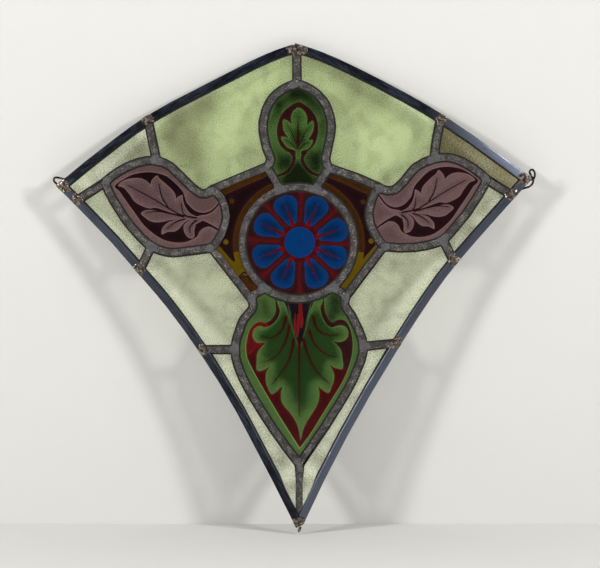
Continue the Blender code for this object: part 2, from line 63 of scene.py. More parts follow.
# The cartoon's sheet, in millimetres, and the panel's origin on it
SHEET_WIDTH = 600.0
SHEET_HEIGHT = 568.0
ORIGIN_ON_SHEET = (298.0, 48.2)
RING_MIDDLE = (298.0, 243.0)
ROSETTE_MIDDLE = (299.7, 242.4)

# Depths behind and before the panel's flat back, in millimetres, as the solids have them
LEAD_BACK = 0.0
LEAD_FRONT = -6.2
GLASS_BACK = -1.6
GLASS_FRONT = -4.6
FLANGE_INSIDE_BACK = -1.3
FLANGE_INSIDE_FRONT = -4.9

# From the edge of a pane to the edge of the lead over it: inner leads and edge leads
COVER_INNER = 2.2
COVER_EDGE = 2.7

WELD = 0.00001

# Spacing of the points that carry the shading of a pale pane, in millimetres
PALE_GRAIN = 4.0

# Light passes four faces of glass on its way to the wall and back, so each takes a fourth root
THROUGH_ONE_FACE = 0.25

# How much longer than wide the mill's streaks are on the edge lead
STREAK = 9.0

# Solder, in millimetres: how far it sits in the lead, its least reach and its greatest height.
# A pool is drawn with this many sides
SOLDER_SUNK = 0.45
SOLDER_LEAST = 2.6
SOLDER_MOST = 0.84
POOL_SIDES = 48

# How much of the grime and painted shade beside the glass lies on solder too
SOLDER_GRIME_AND_SHADE = 0.2

# Cement, in millimetres: how far it goes under the lead and how far it stands on the glass
CEMENT_UNDER = 0.8
CEMENT_LIFT = 0.12

# Sides of a shape that meet more sharply than this aren't mitred, but cut off at a set length
SHARP_CORNER = 0.35
CUT_OFF = 1.6

# Where leads are soldered together, on the cartoon
JOINTS = {
    "edge_apex": (296.8, 48.2), "edge_foot": (298.9, 522.0),
    "edge_left_corner": (62.0, 186.0), "edge_right_corner": (526.0, 179.0),
    "edge_upper_left": (148.0, 120.0), "edge_upper_right": (441.5, 118.8),
    "edge_left_tip": (77.0, 200.8), "edge_right_tip": (511.4, 195.3),
    "edge_lower_left": (140.0, 269.4), "edge_lower_right": (453.6, 261.0),
    "edge_heart_left": (202.9, 350.0), "edge_heart_right": (396.5, 343.5),
    "crown": (297.3, 84.6), "fork_left": (266.6, 168.0), "fork_right": (329.0, 169.0),
    "leaf_left_tip": (105.0, 182.5), "leaf_right_tip": (487.0, 180.0),
    "leaf_left_top": (156.7, 161.0), "leaf_right_top": (434.3, 158.8),
    "leaf_left_shoulder": (212.0, 190.0), "leaf_right_shoulder": (378.0, 187.0),
    "leaf_left_heel": (212.0, 248.0), "leaf_right_heel": (383.5, 246.5),
    "leaf_left_under": (151.5, 246.3), "leaf_right_under": (443.0, 239.8),
    "knee_left": (250.0, 297.0), "knee_right": (346.5, 295.5),
    "heart_left": (235.3, 349.5), "heart_right": (363.2, 346.5), "heart_point": (299.9, 465.0),
    "ring_upper_right": (315.3, 189.7), "ring_upper_left": (280.2, 189.9),
    "ring_lower_left": (264.7, 288.0), "ring_lower_right": (332.1, 287.4),
}

# How much further than elsewhere solder runs from a joint
LONG_RUNS = {"edge_apex": 1.7, "edge_left_corner": 1.3, "edge_right_corner": 1.3,
             "heart_point": 1.25, "crown": 1.2, "fork_left": 1.2, "fork_right": 1.2}

# The glass that each pane is cut from
PALE_PANES = ("glass_top_left", "glass_top_right")
CREAM_PANES = ("glass_upper_left", "glass_side_left", "glass_side_right", "glass_lower_left",
               "glass_lower_right", "glass_foot_left", "glass_foot_right")
MATTED_PANES = ("glass_upper_right",)


def linear(code):
    """A linear colour from an sRGB hex code."""
    parts = [int(code[at:at + 2], 16) / 255.0 for at in (1, 3, 5)]
    return tuple(part / 12.92 if part <= 0.04045 else ((part + 0.055) / 1.055) ** 2.4
                 for part in parts)


def colour_choice(name, code, description):
    """A colour that the user may change, in the sidebar."""
    return bpy.props.FloatVectorProperty(name=name, description=description, subtype="COLOR",
                                         size=3, min=0.0, max=1.0, default=linear(code))


def length_choice(name, millimetres, description):
    """A length that the user may change, in the sidebar."""
    return bpy.props.FloatProperty(name=name, description=description, subtype="DISTANCE",
                                   unit="LENGTH", min=0.0, default=millimetres * MM)


class GlassPanelSizes(bpy.types.PropertyGroup):
    """Sizes of the dressing."""
    lead_round: length_choice("Lead rounding", 1.3, "Width of the rounded margin of a lead's face")
    lead_drop: length_choice("Lead drop", 0.45, "How far a lead's face falls at its margin")
    solder_reach: length_choice("Solder reach", 8.5, "How far solder runs along a lead from a joint")
    solder_rise: length_choice("Solder rise", 0.38, "How far solder stands above the lead's face")
    # The cement beside a lead is drawn wide enough to paint the lead's shadow line on the glass too
    cement_and_shadow_width: length_choice("Cement width", 1.4, "Glazing cement that shows beside a lead")
    paint_grain: length_choice("Paint grain", 2.4, "Spacing of the points that carry the shading")


class GlassPanelColours(bpy.types.PropertyGroup):
    """Colours of lead, glass and paint."""
    old_lead: colour_choice("Old lead", "#1f1e1e", "Dull inner lead")
    lead_bloom: colour_choice("Lead bloom", "#736c65", "Pale oxide on the inner lead")
    edge_lead: colour_choice("Edge lead", "#141824", "Smoother lead round the edge")
    solder: colour_choice("Solder", "#3b322b", "Darkened tin-lead solder")
    pale_glass: colour_choice("Pale glass", "#dcecb4", "Cathedral glass of the top")
    cream_glass: colour_choice("Cream glass", "#f0f7d5", "Paler glass of the sides and foot")
    matted_glass: colour_choice("Matted glass", "#9a9369", "Pane kept dark by a brown matt")
    green_glass: colour_choice("Green glass", "#405c2b", "Glass of the crown and the heart")
    mauve_glass: colour_choice("Mauve glass", "#654e4d", "Glass of the two leaves")
    ruby: colour_choice("Ruby", "#4f060a", "Ruby ground")
    scarlet: colour_choice("Scarlet", "#b01f23", "Bright stripe of the heart")
    maroon: colour_choice("Maroon", "#331113", "Line paint and ground of the rosette")
    ground: colour_choice("Ground", "#1d090d", "Dark trace paint behind the ornament")
    blue_enamel: colour_choice("Blue enamel", "#003063", "Petals and boss of the rosette")
    amber: colour_choice("Amber stain", "#524000", "Silver-stained bands of the spandrels")
    brown: colour_choice("Brown stain", "#3c2105", "Bands where the stain was overfired")


def sizes():
    """The chosen sizes."""
    return bpy.context.scene.glass_panel_sizes


def colours():
    """The chosen colours."""
    return bpy.context.scene.glass_panel_colours


def on_panel(x, y, depth=0.0):
    """A place on the cartoon, at a depth in millimetres, as a point of the panel in metres."""
    left, top = ORIGIN_ON_SHEET
    return Vector(((x - left) * MM, depth * MM, (top - y) * MM))


def on_sheet(point):
    """A point of the panel, as a place on the cartoon."""
    left, top = ORIGIN_ON_SHEET
    return Vector((left + point.x / MM, top - point.z / MM))


# Nodes: settings and sockets that many of them share

SMOOTHLY = {"interpolation_type": "SMOOTHSTEP"}
OF_COLOURS = {"data_type": "RGBA"}
TIMES_PLUS = {"operation": "MULTIPLY_ADD"}
PLUS = {"operation": "ADD"}
SHARE, UNDER, OVER = 0, 6, 7
MIXED = 2


def add_node(tree, kind, settings=None, inputs=None, output=0):
    """Add a node, give it its settings, set or link its inputs, and hand back one output."""
    node = tree.nodes.new(kind)
    for name, value in (settings or {}).items():
        setattr(node, name, value)
    for name, value in (inputs or {}).items():
        if isinstance(value, bpy.types.NodeSocket):
            tree.links.new(value, node.inputs[name])
        elif isinstance(value, tuple) and len(value) == 3 and node.inputs[name].type == "RGBA":
            node.inputs[name].default_value = (*value, 1.0)
        else:
            node.inputs[name].default_value = value
    return node.outputs[output] if node.outputs else node


def new_material(name):
    """A material with an empty node tree, and its object coordinates."""
    material = bpy.data.materials.new(name)
    material.use_nodes = True
    tree = material.node_tree
    tree.nodes.clear()
    return material, tree, add_node(tree, "ShaderNodeTexCoord", output="Object")


def per_metre(millimetres):
    """The texture scale whose features are this many millimetres across."""
    return 1.0 / (millimetres * MM)


def shade(colour, factor):
    """A colour made darker or paler."""
    return tuple(min(part * factor, 1.0) for part in colour)


def shades(colour, *factors):
    """A colour made darker or paler by each factor in turn."""
    return [shade(colour, factor) for factor in factors]


def lead_finish(name, base, bloom, bloom_share, oxide_and_glint_share, metallic, roughness, bump_mm,
                pale_base=None, grain_turn=None):
    """Milled lead: soft grey metal that dulls to oxide in blotches, with pale specks that are partly
    white oxide and partly painted glints, darkened beside the glass by grime and painted shade.
    Where a lead's points ask for it, a paler base shows, which on the upper right edge lead is a
    painted reflection."""
    material, tree, coords = new_material(name)
    if grain_turn is not None:
        coords = add_node(tree, "ShaderNodeMapping", {"vector_type": "TEXTURE"}, {
            "Vector": coords, "Rotation": (0.0, -grain_turn, 0.0), "Scale": (STREAK, 1.0, 1.0)})
    blotch = add_node(tree, "ShaderNodeTexNoise", inputs={
        "Vector": coords, "Scale": per_metre(7.0), "Detail": 3.0, "Roughness": 0.6})
    grit = add_node(tree, "ShaderNodeTexNoise", inputs={
        "Vector": coords, "Scale": per_metre(1.5), "Detail": 4.0, "Roughness": 0.85})
    both = add_node(tree, "ShaderNodeMath", TIMES_PLUS, {0: grit, 1: 2.0, 2: blotch})
    bloomed = add_node(tree, "ShaderNodeMapRange", SMOOTHLY, {
        "Value": both, "From Min": 1.3, "From Max": 1.85, "To Max": bloom_share})
    # A paler base where a lead's points ask for it: on the upper right edge lead, a painted
    # reflection
    second_tone = add_node(tree, "ShaderNodeAttribute", {"attribute_name": "second_tone"}, output="Fac")
    under = add_node(tree, "ShaderNodeMix", OF_COLOURS, {
        SHARE: second_tone, UNDER: base, OVER: pale_base or base}, MIXED)
    metal = add_node(tree, "ShaderNodeMix", OF_COLOURS, {
        SHARE: bloomed, UNDER: under, OVER: bloom}, MIXED)
    pits = add_node(tree, "ShaderNodeTexNoise", inputs={
        "Vector": coords, "Scale": per_metre(1.2), "Detail": 1.0, "Roughness": 0.5})
    # Pale specks: partly white oxide and partly painted glints
    oxide_and_glint_spots = add_node(tree, "ShaderNodeMath", TIMES_PLUS, {0: blotch, 1: 0.5, 2: pits})
    speckled = add_node(tree, "ShaderNodeMapRange", SMOOTHLY, {
        "Value": oxide_and_glint_spots, "From Min": 0.84, "From Max": 0.98, "To Max": oxide_and_glint_share})
    oxide = add_node(tree, "ShaderNodeMix", OF_COLOURS, {
        SHARE: speckled, UNDER: metal, OVER: shade(bloom, 2.2)}, MIXED)
    # Grime and painted shade darken the lead along its rounded margin, beside the glass
    margin = add_node(tree, "ShaderNodeAttribute", {"attribute_name": "margin"}, output="Fac")
    uneven = add_node(tree, "ShaderNodeMath", TIMES_PLUS, {0: grit, 1: 0.9, 2: -0.45})
    grime_and_shade = add_node(tree, "ShaderNodeMath", PLUS, {0: margin, 1: uneven})
    grimed_and_shaded = add_node(tree, "ShaderNodeMapRange", SMOOTHLY, {
        "Value": grime_and_shade, "From Min": 0.45, "To Max": 0.85})
    surface = add_node(tree, "ShaderNodeMix", OF_COLOURS, {
        SHARE: grimed_and_shaded, UNDER: oxide, OVER: linear("#1b1a18")}, MIXED)
    dulled = add_node(tree, "ShaderNodeMapRange", inputs={
        "Value": both, "From Min": 1.1, "From Max": 2.0, "To Min": roughness - 0.08,
        "To Max": roughness + 0.12})
    bump = add_node(tree, "ShaderNodeBump", inputs={
        "Height": both, "Distance": bump_mm * MM, "Strength": 0.8})
    lead = add_node(tree, "ShaderNodeBsdfPrincipled", inputs={
        "Base Color": surface, "Metallic": metallic, "Roughness": dulled, "Normal": bump})
    add_node(tree, "ShaderNodeOutputMaterial", inputs={"Surface": lead})
    return material


def old_lead():
    """Old inner came: matt, mottled with pale oxide and pitted."""
    return lead_finish("old lead came", tuple(colours().old_lead), tuple(colours().lead_bloom),
                       bloom_share=0.5, oxide_and_glint_share=0.6, metallic=0.3, roughness=0.58, bump_mm=0.35)


def edge_lead(turn):
    """Newer edge came: smoother blue-grey lead, streaked along its length by the mill."""
    # Its paler base paints a lamp's reflection on the upper right edge lead
    return lead_finish("smooth edge lead", shade(colours().edge_lead, 0.45), linear("#525b70"),
                       bloom_share=0.36, oxide_and_glint_share=0.05, metallic=0.75, roughness=0.34,
                       bump_mm=0.12, pale_base=linear("#7f8797"), grain_turn=turn)


def dull_solder():
    """Solder of the inner joints, dulled to the grey of the lead and smoother than it."""
    return lead_finish("dulled solder", shade(colours().old_lead, 3.6), linear("#6f7074"),
                       bloom_share=0.4, oxide_and_glint_share=0.1, metallic=0.1, roughness=0.62, bump_mm=0.06)


def bright_metal(name, base, bloom, lump_mm, rise_mm):
    """Tinned metal that set in lumps: browned in its hollows, with small bright glints."""
    material, tree, coords = new_material(name)
    lumps = add_node(tree, "ShaderNodeTexNoise", inputs={
        "Vector": coords, "Scale": per_metre(lump_mm), "Detail": 2.0, "Roughness": 0.5})
    tarnish = add_node(tree, "ShaderNodeTexNoise", inputs={
        "Vector": coords, "Scale": per_metre(3.2), "Detail": 4.0, "Roughness": 0.7})
    browned = add_node(tree, "ShaderNodeMapRange", SMOOTHLY, {
        "Value": tarnish, "From Min": 0.42, "From Max": 0.62})
    colour = add_node(tree, "ShaderNodeMix", OF_COLOURS, {
        SHARE: browned, UNDER: base, OVER: bloom}, MIXED)
    rough = add_node(tree, "ShaderNodeMapRange", inputs={
        "Value": tarnish, "From Min": 0.3, "From Max": 0.7, "To Min": 0.38, "To Max": 0.16})
    bump = add_node(tree, "ShaderNodeBump", inputs={
        "Height": lumps, "Distance": rise_mm * MM, "Strength": 1.0})
    metal = add_node(tree, "ShaderNodeBsdfPrincipled", inputs={
        "Base Color": colour, "Metallic": 0.95, "Roughness": rough, "Normal": bump})
    add_node(tree, "ShaderNodeOutputMaterial", inputs={"Surface": metal})
    return material


def solder():
    """Tin-lead solder of the outer joints, left in bright lumps and browned by age."""
    return bright_metal("tinned solder", tuple(colours().solder), linear("#a2968a"), lump_mm=2.6,
                        rise_mm=0.9)


def wire_metal():
    """Tinned copper wire, darkened almost to black."""
    return bright_metal("tinned copper wire", linear("#15120f"), linear("#5a5048"), lump_mm=2.0,
                        rise_mm=0.35)


def cement():
    """Glazing cement: whiting and lamp black, dry, matt and crumbly."""
    material, tree, coords = new_material("glazing cement")
    crumbs = add_node(tree, "ShaderNodeTexNoise", inputs={
        "Vector": coords, "Scale": per_metre(0.9), "Detail": 3.0, "Roughness": 0.6})
    colour = add_node(tree, "ShaderNodeMix", OF_COLOURS, {
        SHARE: crumbs, UNDER: linear("#080706"), OVER: linear("#1c1914")}, MIXED)
    bump = add_node(tree, "ShaderNodeBump", inputs={
        "Height": crumbs, "Distance": 0.4 * MM, "Strength": 1.0})
    putty = add_node(tree, "ShaderNodeBsdfPrincipled", inputs={
        "Base Color": colour, "Roughness": 0.9, "Normal": bump})
    add_node(tree, "ShaderNodeOutputMaterial", inputs={"Surface": putty})
    return material


def glaze(material, colour, covered, height, rise_mm, roughness, specular):
    """Give a material uneven glass of one colour, part clear and part covered by a film."""
    tree = material.node_tree
    bump = add_node(tree, "ShaderNodeBump", inputs={
        "Height": height, "Distance": rise_mm * MM, "Strength": 0.4})
    film = add_node(tree, "ShaderNodeBsdfPrincipled", inputs={
        "Base Color": colour, "Roughness": roughness, "IOR": 1.5,
        "Specular IOR Level": specular, "Normal": bump})
    through = add_node(tree, "ShaderNodeGamma", inputs={
        "Color": colour, "Gamma": THROUGH_ONE_FACE})
    clear = add_node(tree, "ShaderNodeBsdfTransparent", inputs={"Color": through})
    glass = add_node(tree, "ShaderNodeMixShader", inputs={0: covered, 1: clear, 2: film})
    add_node(tree, "ShaderNodeOutputMaterial", inputs={"Surface": glass})
    return material


def fired_glass(name, light, dark, body, fade_mm, mottle_mm=6.0, edge=0.0, vein=0.0):
    """Hand-painted glass: light at the edge of a shape and darker towards its middle and under the
    broad strokes of matt, part clear and part covered by fired paint."""
    material, tree, coords = new_material(name)
    mottle = add_node(tree, "ShaderNodeTexNoise", inputs={
        "Vector": coords, "Scale": per_metre(mottle_mm), "Detail": 5.0, "Roughness": 0.62})
    specks = add_node(tree, "ShaderNodeTexNoise", inputs={
        "Vector": coords, "Scale": per_metre(0.9), "Detail": 3.0, "Roughness": 0.7})
    inwards, dusk, from_vein = [
        add_node(tree, "ShaderNodeAttribute", {"attribute_name": layer}, output="Fac")
        for layer in ("inwards", "dusk", "from_vein")]
    wander = add_node(tree, "ShaderNodeMath", TIMES_PLUS, {0: mottle, 1: 1.1, 2: -0.55})
    deep = add_node(tree, "ShaderNodeMath", TIMES_PLUS, {0: inwards, 1: 1.0 / fade_mm, 2: wander})
    dusky = add_node(tree, "ShaderNodeMath", PLUS, {0: deep, 1: dusk})
    faded = add_node(tree, "ShaderNodeMapRange", SMOOTHLY, {"Value": dusky})
    paint = add_node(tree, "ShaderNodeMix", OF_COLOURS, {
        SHARE: faded, UNDER: light, OVER: dark}, MIXED)
    veined = add_node(tree, "ShaderNodeMapRange", SMOOTHLY, {
        "Value": from_vein, "From Max": 6.0, "To Min": vein, "To Max": 0.0})
    creased = add_node(tree, "ShaderNodeMix", OF_COLOURS, {
        SHARE: veined, UNDER: paint, OVER: shade(dark, 0.6)}, MIXED)
    wiped = add_node(tree, "ShaderNodeMapRange", SMOOTHLY, {
        "Value": inwards, "From Min": 0.3, "From Max": 1.7, "To Min": edge, "To Max": 0.0})
    edged = add_node(tree, "ShaderNodeMix", OF_COLOURS, {
        SHARE: wiped, UNDER: creased, OVER: shade(light, 1.45)}, MIXED)
    second_tone = add_node(tree, "ShaderNodeMapRange", SMOOTHLY, {
        "Value": specks, "From Min": 0.35, "From Max": 0.75, "To Max": 0.35})
    surface = add_node(tree, "ShaderNodeMix", OF_COLOURS, {
        SHARE: second_tone, UNDER: edged, OVER: shade(dark, 0.7)}, MIXED)
    return glaze(material, surface, body, mottle, rise_mm=0.3, roughness=0.22, specular=0.15)


def cathedral_glass(name, tint, matting):
    """Cathedral glass: rolled, with reams and a little cloudy, under a stippled brown matt that was
    brushed thin in the middle of the pane and left, with old dirt, beside the leads. Patches of
    brown matt and dirt darken it, and some of them are painted shadow of the leads."""
    material, tree, coords = new_material(name)
    cloud = add_node(tree, "ShaderNodeTexNoise", inputs={
        "Vector": coords, "Scale": per_metre(40.0), "Detail": 3.0, "Roughness": 0.5})
    grit = add_node(tree, "ShaderNodeTexNoise", inputs={
        "Vector": coords, "Scale": per_metre(1.5), "Detail": 4.0, "Roughness": 0.75})
    rim, dusk = [add_node(tree, "ShaderNodeAttribute", {"attribute_name": layer}, output="Fac")
                 for layer in ("rim", "dusk")]
    near = add_node(tree, "ShaderNodeMapRange", SMOOTHLY, {
        "Value": rim, "From Min": 2.0, "From Max": 15.0, "To Min": 0.11, "To Max": 0.0})
    clouded = add_node(tree, "ShaderNodeMapRange", SMOOTHLY, {
        "Value": cloud, "From Min": 0.42, "From Max": 0.66, "To Max": 0.07})
    beside_lead = add_node(tree, "ShaderNodeMath", PLUS, {0: near, 1: grit})
    cloudy = add_node(tree, "ShaderNodeMath", PLUS, {0: clouded, 1: beside_lead})
    everywhere = add_node(tree, "ShaderNodeMath", TIMES_PLUS, {0: dusk, 1: 0.14, 2: cloudy})
    stipple = add_node(tree, "ShaderNodeMapRange", SMOOTHLY, {
        "Value": everywhere, "From Min": 0.46, "From Max": 0.86, "To Max": matting})
    # Patches of brown matt and dirt, in places painted shadow
    matt_and_shadow_share = add_node(tree, "ShaderNodeMapRange", SMOOTHLY, {
        "Value": dusk, "From Max": 1.2, "To Max": 0.6})
    reams = add_node(tree, "ShaderNodeTexNoise", inputs={
        "Vector": coords, "Scale": per_metre(16.0), "Detail": 2.0, "Roughness": 0.55,
        "Distortion": 0.6})
    reamed = add_node(tree, "ShaderNodeMapRange", SMOOTHLY, {
        "Value": reams, "From Min": 0.45, "From Max": 0.7, "To Max": 0.4})
    rolled = add_node(tree, "ShaderNodeMix", OF_COLOURS, {
        SHARE: reamed, UNDER: shade(tint, 1.04), OVER: linear("#8f9a74")}, MIXED)
    matt_and_shadow_washed = add_node(tree, "ShaderNodeMix", OF_COLOURS, {
        SHARE: matt_and_shadow_share, UNDER: rolled, OVER: linear("#77704d")}, MIXED)
    surface = add_node(tree, "ShaderNodeMix", OF_COLOURS, {
        SHARE: stipple, UNDER: matt_and_shadow_washed, OVER: linear("#40371c")}, MIXED)
    covered = add_node(tree, "ShaderNodeMath", TIMES_PLUS, {0: stipple, 1: 0.6, 2: 0.1})
    ripple = add_node(tree, "ShaderNodeTexNoise", inputs={
        "Vector": coords, "Scale": per_metre(11.0), "Detail": 2.0, "Roughness": 0.5})
    return glaze(material, surface, covered, ripple, rise_mm=0.6, roughness=0.2, specular=0.3)


def pale_cathedral_glass():
    """Pale green cathedral glass of the two top panes."""
    return cathedral_glass("pale green cathedral glass", colours().pale_glass, matting=0.5)


def cream_cathedral_glass():
    """Paler, creamier cathedral glass of the sides and the foot."""
    return cathedral_glass("cream cathedral glass", colours().cream_glass, matting=0.6)


def matted_cathedral_glass():
    """Cathedral glass under a heavy brown matt."""
    return cathedral_glass("matted cathedral glass", colours().matted_glass, matting=0.85)


def mauve_glass():
    """Pot-metal mauve glass with a thin matt, wiped out towards the edges of each leaf."""
    return fired_glass("mauve glass", *shades(colours().mauve_glass, 1.32, 0.9), body=0.65,
                       fade_mm=9.0, edge=0.45, vein=0.3)


def dark_ground():
    """Trace paint laid on thick round the leaves: nearly black, with a little red."""
    return fired_glass("dark trace ground", *shades(colours().ground, 1.15, 0.5), body=0.88,
                       fade_mm=6.0)


def green_border_glass():
    """Green glass with broad strokes of dark matt."""
    return fired_glass("green glass", *shades(colours().green_glass, 1.4, 0.14), body=0.6,
                       fade_mm=22.0, mottle_mm=14.0, edge=0.15)


def green_leaf_glass():
    """Green glass of the leaves: pale at the tips, dark with matt in the middle."""
    return fired_glass("green leaf glass", shade(colours().green_glass, 1.6), linear("#1d3a12"),
                       body=0.6, fade_mm=19.0, mottle_mm=8.0, edge=0.4, vein=0.35)


def wiped_green_line():
    """A fine line wiped out of the matt along the border, where the green shows clear."""
    return fired_glass("wiped green line", *shades(colours().green_glass, 2.5, 1.9), body=0.6,
                       fade_mm=4.0)


def maroon_line():
    """Dark ruby line paint."""
    return fired_glass("maroon line paint", *shades(colours().maroon, 1.1, 0.6), body=0.8,
                       fade_mm=5.0)


def indigo_shadow():
    """Blue-black paint in the throat of the large leaf."""
    return fired_glass("indigo shadow paint", linear("#291a28"), linear("#120a12"), body=0.8,
                       fade_mm=6.0, mottle_mm=4.0)


def ruby_ground():
    """Flashed ruby glass left bare between strokes of paint."""
    return fired_glass("flashed ruby ground", *shades(colours().ruby, 0.95, 0.45), body=0.7,
                       fade_mm=6.0, mottle_mm=9.0)


def clear_ruby():
    """Ruby with the paint wiped thin."""
    return fired_glass("clear ruby", *shades(colours().ruby, 1.9, 1.2), body=0.7, fade_mm=4.0)


def thin_ruby():
    """Ruby spokes of the rosette, under a thin wash of paint."""
    return fired_glass("thin ruby wash", *shades(colours().ruby, 1.5, 0.95), body=0.7, fade_mm=5.0)


def scarlet_stripe():
    """The brightest ruby, where the paint was wiped right off."""
    return fired_glass("wiped scarlet stripe", *shades(colours().scarlet, 1.0, 0.4), body=0.75,
                       fade_mm=3.0, mottle_mm=3.0)


def blue_enamel():
    """Blue enamel: brushed on, thin at the rim of a stroke and dense in the middle."""
    return fired_glass("blue enamel", *shades(colours().blue_enamel, 1.2, 0.55), body=0.8,
                       fade_mm=13.0, mottle_mm=7.0, edge=0.12)


def amber_stain():
    """Silver stain over ruby: clear amber where it is thin."""
    return fired_glass("amber stain", *shades(colours().amber, 1.45, 0.7), body=0.75,
                       fade_mm=16.0, mottle_mm=10.0)


def brown_stain():
    """Silver stain fired too long: brown."""
    return fired_glass("brown stain", *shades(colours().brown, 1.3, 0.6), body=0.75, fade_mm=5.0,
                       mottle_mm=10.0)


# Shapes on the cartoon

def smooth_line(points, closed=False, steps=5):
    """A smooth line through places on the cartoon."""
    places = [Vector(point) for point in points]
    count = len(places)
    line = []
    for span in range(count if closed else count - 1):
        before, start, end, after = [
            places[at % count if closed else min(max(at, 0), count - 1)]
            for at in range(span - 1, span + 3)]
        for step in range(steps):
            t = step / steps
            line.append(0.5 * (2.0 * start + (end - before) * t
                               + (2.0 * before - 5.0 * start + 4.0 * end - after) * t * t
                               + (3.0 * start - before - 3.0 * end + after) * t * t * t))
    if not closed:
        line.append(places[-1])
    return line


def brush_stroke(points, widths):
    """The outline of a stroke along a smooth line, its width following the given widths."""
    line = smooth_line(points)
    left_side = []
    right_side = []
    for index, place in enumerate(line):
        before = line[max(index - 1, 0)]
        after = line[min(index + 1, len(line) - 1)]
        along = (after - before).normalized()
        share = index / (len(line) - 1) * (len(widths) - 1)
        first = min(int(share), len(widths) - 2)
        width = widths[first] + (widths[first + 1] - widths[first]) * (share - first)
        side = Vector((-along.y, along.x)) * width / 2.0
        left_side.append(place + side)
        right_side.append(place - side)
    return left_side + right_side[::-1]


def disc(middle, radius, sides):
    """A round on the cartoon."""
    angles = [2.0 * math.pi * side / sides for side in range(sides)]
    return [Vector(middle) + radius * Vector((math.cos(angle), math.sin(angle)))
            for angle in angles]


def arc_line(middle, radius, start, end, steps=24):
    """An arc on the cartoon, in degrees anticlockwise from the right."""
    angles = [math.radians(start + (end - start) * step / steps) for step in range(steps + 1)]
    return [Vector(middle) + radius * Vector((math.cos(angle), -math.sin(angle)))
            for angle in angles]


# Meshes

def finish_piece(name, mesh, materials, replaced=(), flat=False):
    """Make a piece of a finished bmesh, shade it, and let it ride on the panel."""
    data = bpy.data.meshes.new(name)
    mesh.to_mesh(data)
    mesh.free()
    piece = bpy.data.objects.new(name, data)
    bpy.context.scene.collection.objects.link(piece)
    for material in materials:
        data.materials.append(material)
    if not flat:
        data.shade_smooth()
        data.set_sharp_from_angle(angle=math.radians(42.0))
    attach(piece, "root")
    if replaced:
        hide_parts(*replaced)
    return piece


def merged_copy(node):
    """A bmesh of a solid with its triangles welded and paired into four-sided faces."""
    mesh = bmesh.new()
    mesh.from_mesh(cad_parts[node].data)
    bmesh.ops.remove_doubles(mesh, verts=mesh.verts[:], dist=WELD)
    bmesh.ops.join_triangles(mesh, faces=mesh.faces[:], angle_face_threshold=math.radians(1.0),
                             angle_shape_threshold=math.radians(120.0))
    return mesh


def flat_faces(mesh, outwards, level):
    """The faces of a solid that look straight forwards or back and lie at one depth."""
    return [face for face in mesh.faces if face.normal.y * outwards > 0.99
            and abs(face.calc_center_median().y / MM - level) < 0.1]


def round_face(mesh, outwards, margin):
    """Round off one face of a lead: an inset margin that falls away to the side."""
    surface = LEAD_FRONT if outwards < 0 else LEAD_BACK
    faces = flat_faces(mesh, outwards, surface)
    for width, level in ((0.35, 0.7), (0.65, 0.0)):
        bmesh.ops.inset_region(mesh, faces=faces, thickness=width * sizes().lead_round,
                               use_even_offset=False, use_boundary=True)
        flat_verts = {vert for face in faces for vert in face.verts}
        for vert in flat_verts:
            vert[margin] = level
    for vert in mesh.verts:
        if abs(vert.co.y / MM - surface) > 0.05 or vert in flat_verts:
            continue
        beside = any(abs(face.normal.y) < 0.5 for face in vert.link_faces)
        vert.co.y -= outwards * sizes().lead_drop * (1.0 if beside else 0.3)


# How far each edge lead turns to its paler base, along it from one place to another on the
# # cartoon. On the upper right this paints a lamp's reflection in the lead's flat face; the two
# # lower leads change in paleness along their length.
EDGE_PALING = {
    "edge_came_upper_right": ((425.0, 108.0, 0.0), (505.0, 160.0, 1.0)),
    "edge_came_lower_left": ((110.0, 235.0, 0.3), (230.0, 400.0, 0.0)),
    "edge_came_lower_right": ((505.0, 205.0, 0.25), (360.0, 400.0, 0.45)),
}


def pale_lead(mesh, node):
    """Store how far a lead turns to its paler base at each of its points."""
    second_tone = mesh.verts.layers.float.new("second_tone")
    if node not in EDGE_PALING:
        return
    (x0, y0, least), (x1, y1, most) = EDGE_PALING[node]
    along = Vector((x1 - x0, y1 - y0))
    for vert in mesh.verts:
        share = (on_sheet(vert.co) - Vector((x0, y0))).dot(along) / along.length_squared
        vert[second_tone] = least + (most - least) * min(max(share, 0.0), 1.0)


def dress_lead(node, material):
    """A lead came with rounded faces, standing for its solid."""
    mesh = merged_copy(node)
    margin = mesh.verts.layers.float.new("margin")
    for vert in mesh.verts:
        vert[margin] = 1.0
    round_face(mesh, -1.0, margin)
    round_face(mesh, 1.0, margin)
    pale_lead(mesh, node)
    return finish_piece("lead_" + node, mesh, [material], [node])


def lead_tree(kind):
    """The solids of all leads of one kind together, for finding where they lie."""
    verts = []
    faces = []
    for name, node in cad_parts.items():
        if kind in name:
            start = len(verts)
            verts.extend(vert.co.copy() for vert in node.data.vertices)
            faces.extend([start + corner for corner in face.vertices]
                         for face in node.data.polygons)
    return BVHTree.FromPolygons(verts, faces)


def solder_reach(leads, middle, angle, reach):
    """How far from a joint a lead's face runs in one direction, in millimetres. The hair gap where
    leads butt doesn't stop the solder."""
    step = 0.4
    widest_gap = 1.3
    covered = step
    distance = step
    while distance < reach and distance - covered < widest_gap:
        x = middle[0] + distance * math.cos(angle)
        y = middle[1] + distance * math.sin(angle)
        start = on_panel(x, y, LEAD_FRONT - 5.0)
        hit = leads.ray_cast(start, Vector((0.0, 1.0, 0.0)), 6.0 * MM)[0]
        distance += step
        if hit is not None:
            covered = distance
    return covered


def pool_reaches(leads, middle, seed, reach):
    """How far a pool of solder reaches in each direction, softened from one to the next."""
    reaches = [solder_reach(leads, middle, 2.0 * math.pi * index / POOL_SIDES,
                            reach * (0.8 + 0.35 * noise.noise(Vector((seed, index * 0.13, 0.0)))))
               for index in range(POOL_SIDES)]
    return [max((reaches[index - 1] + 2.0 * reaches[index]
                 + reaches[(index + 1) % POOL_SIDES]) / 4.0, SOLDER_LEAST)
            for index in range(POOL_SIDES)]


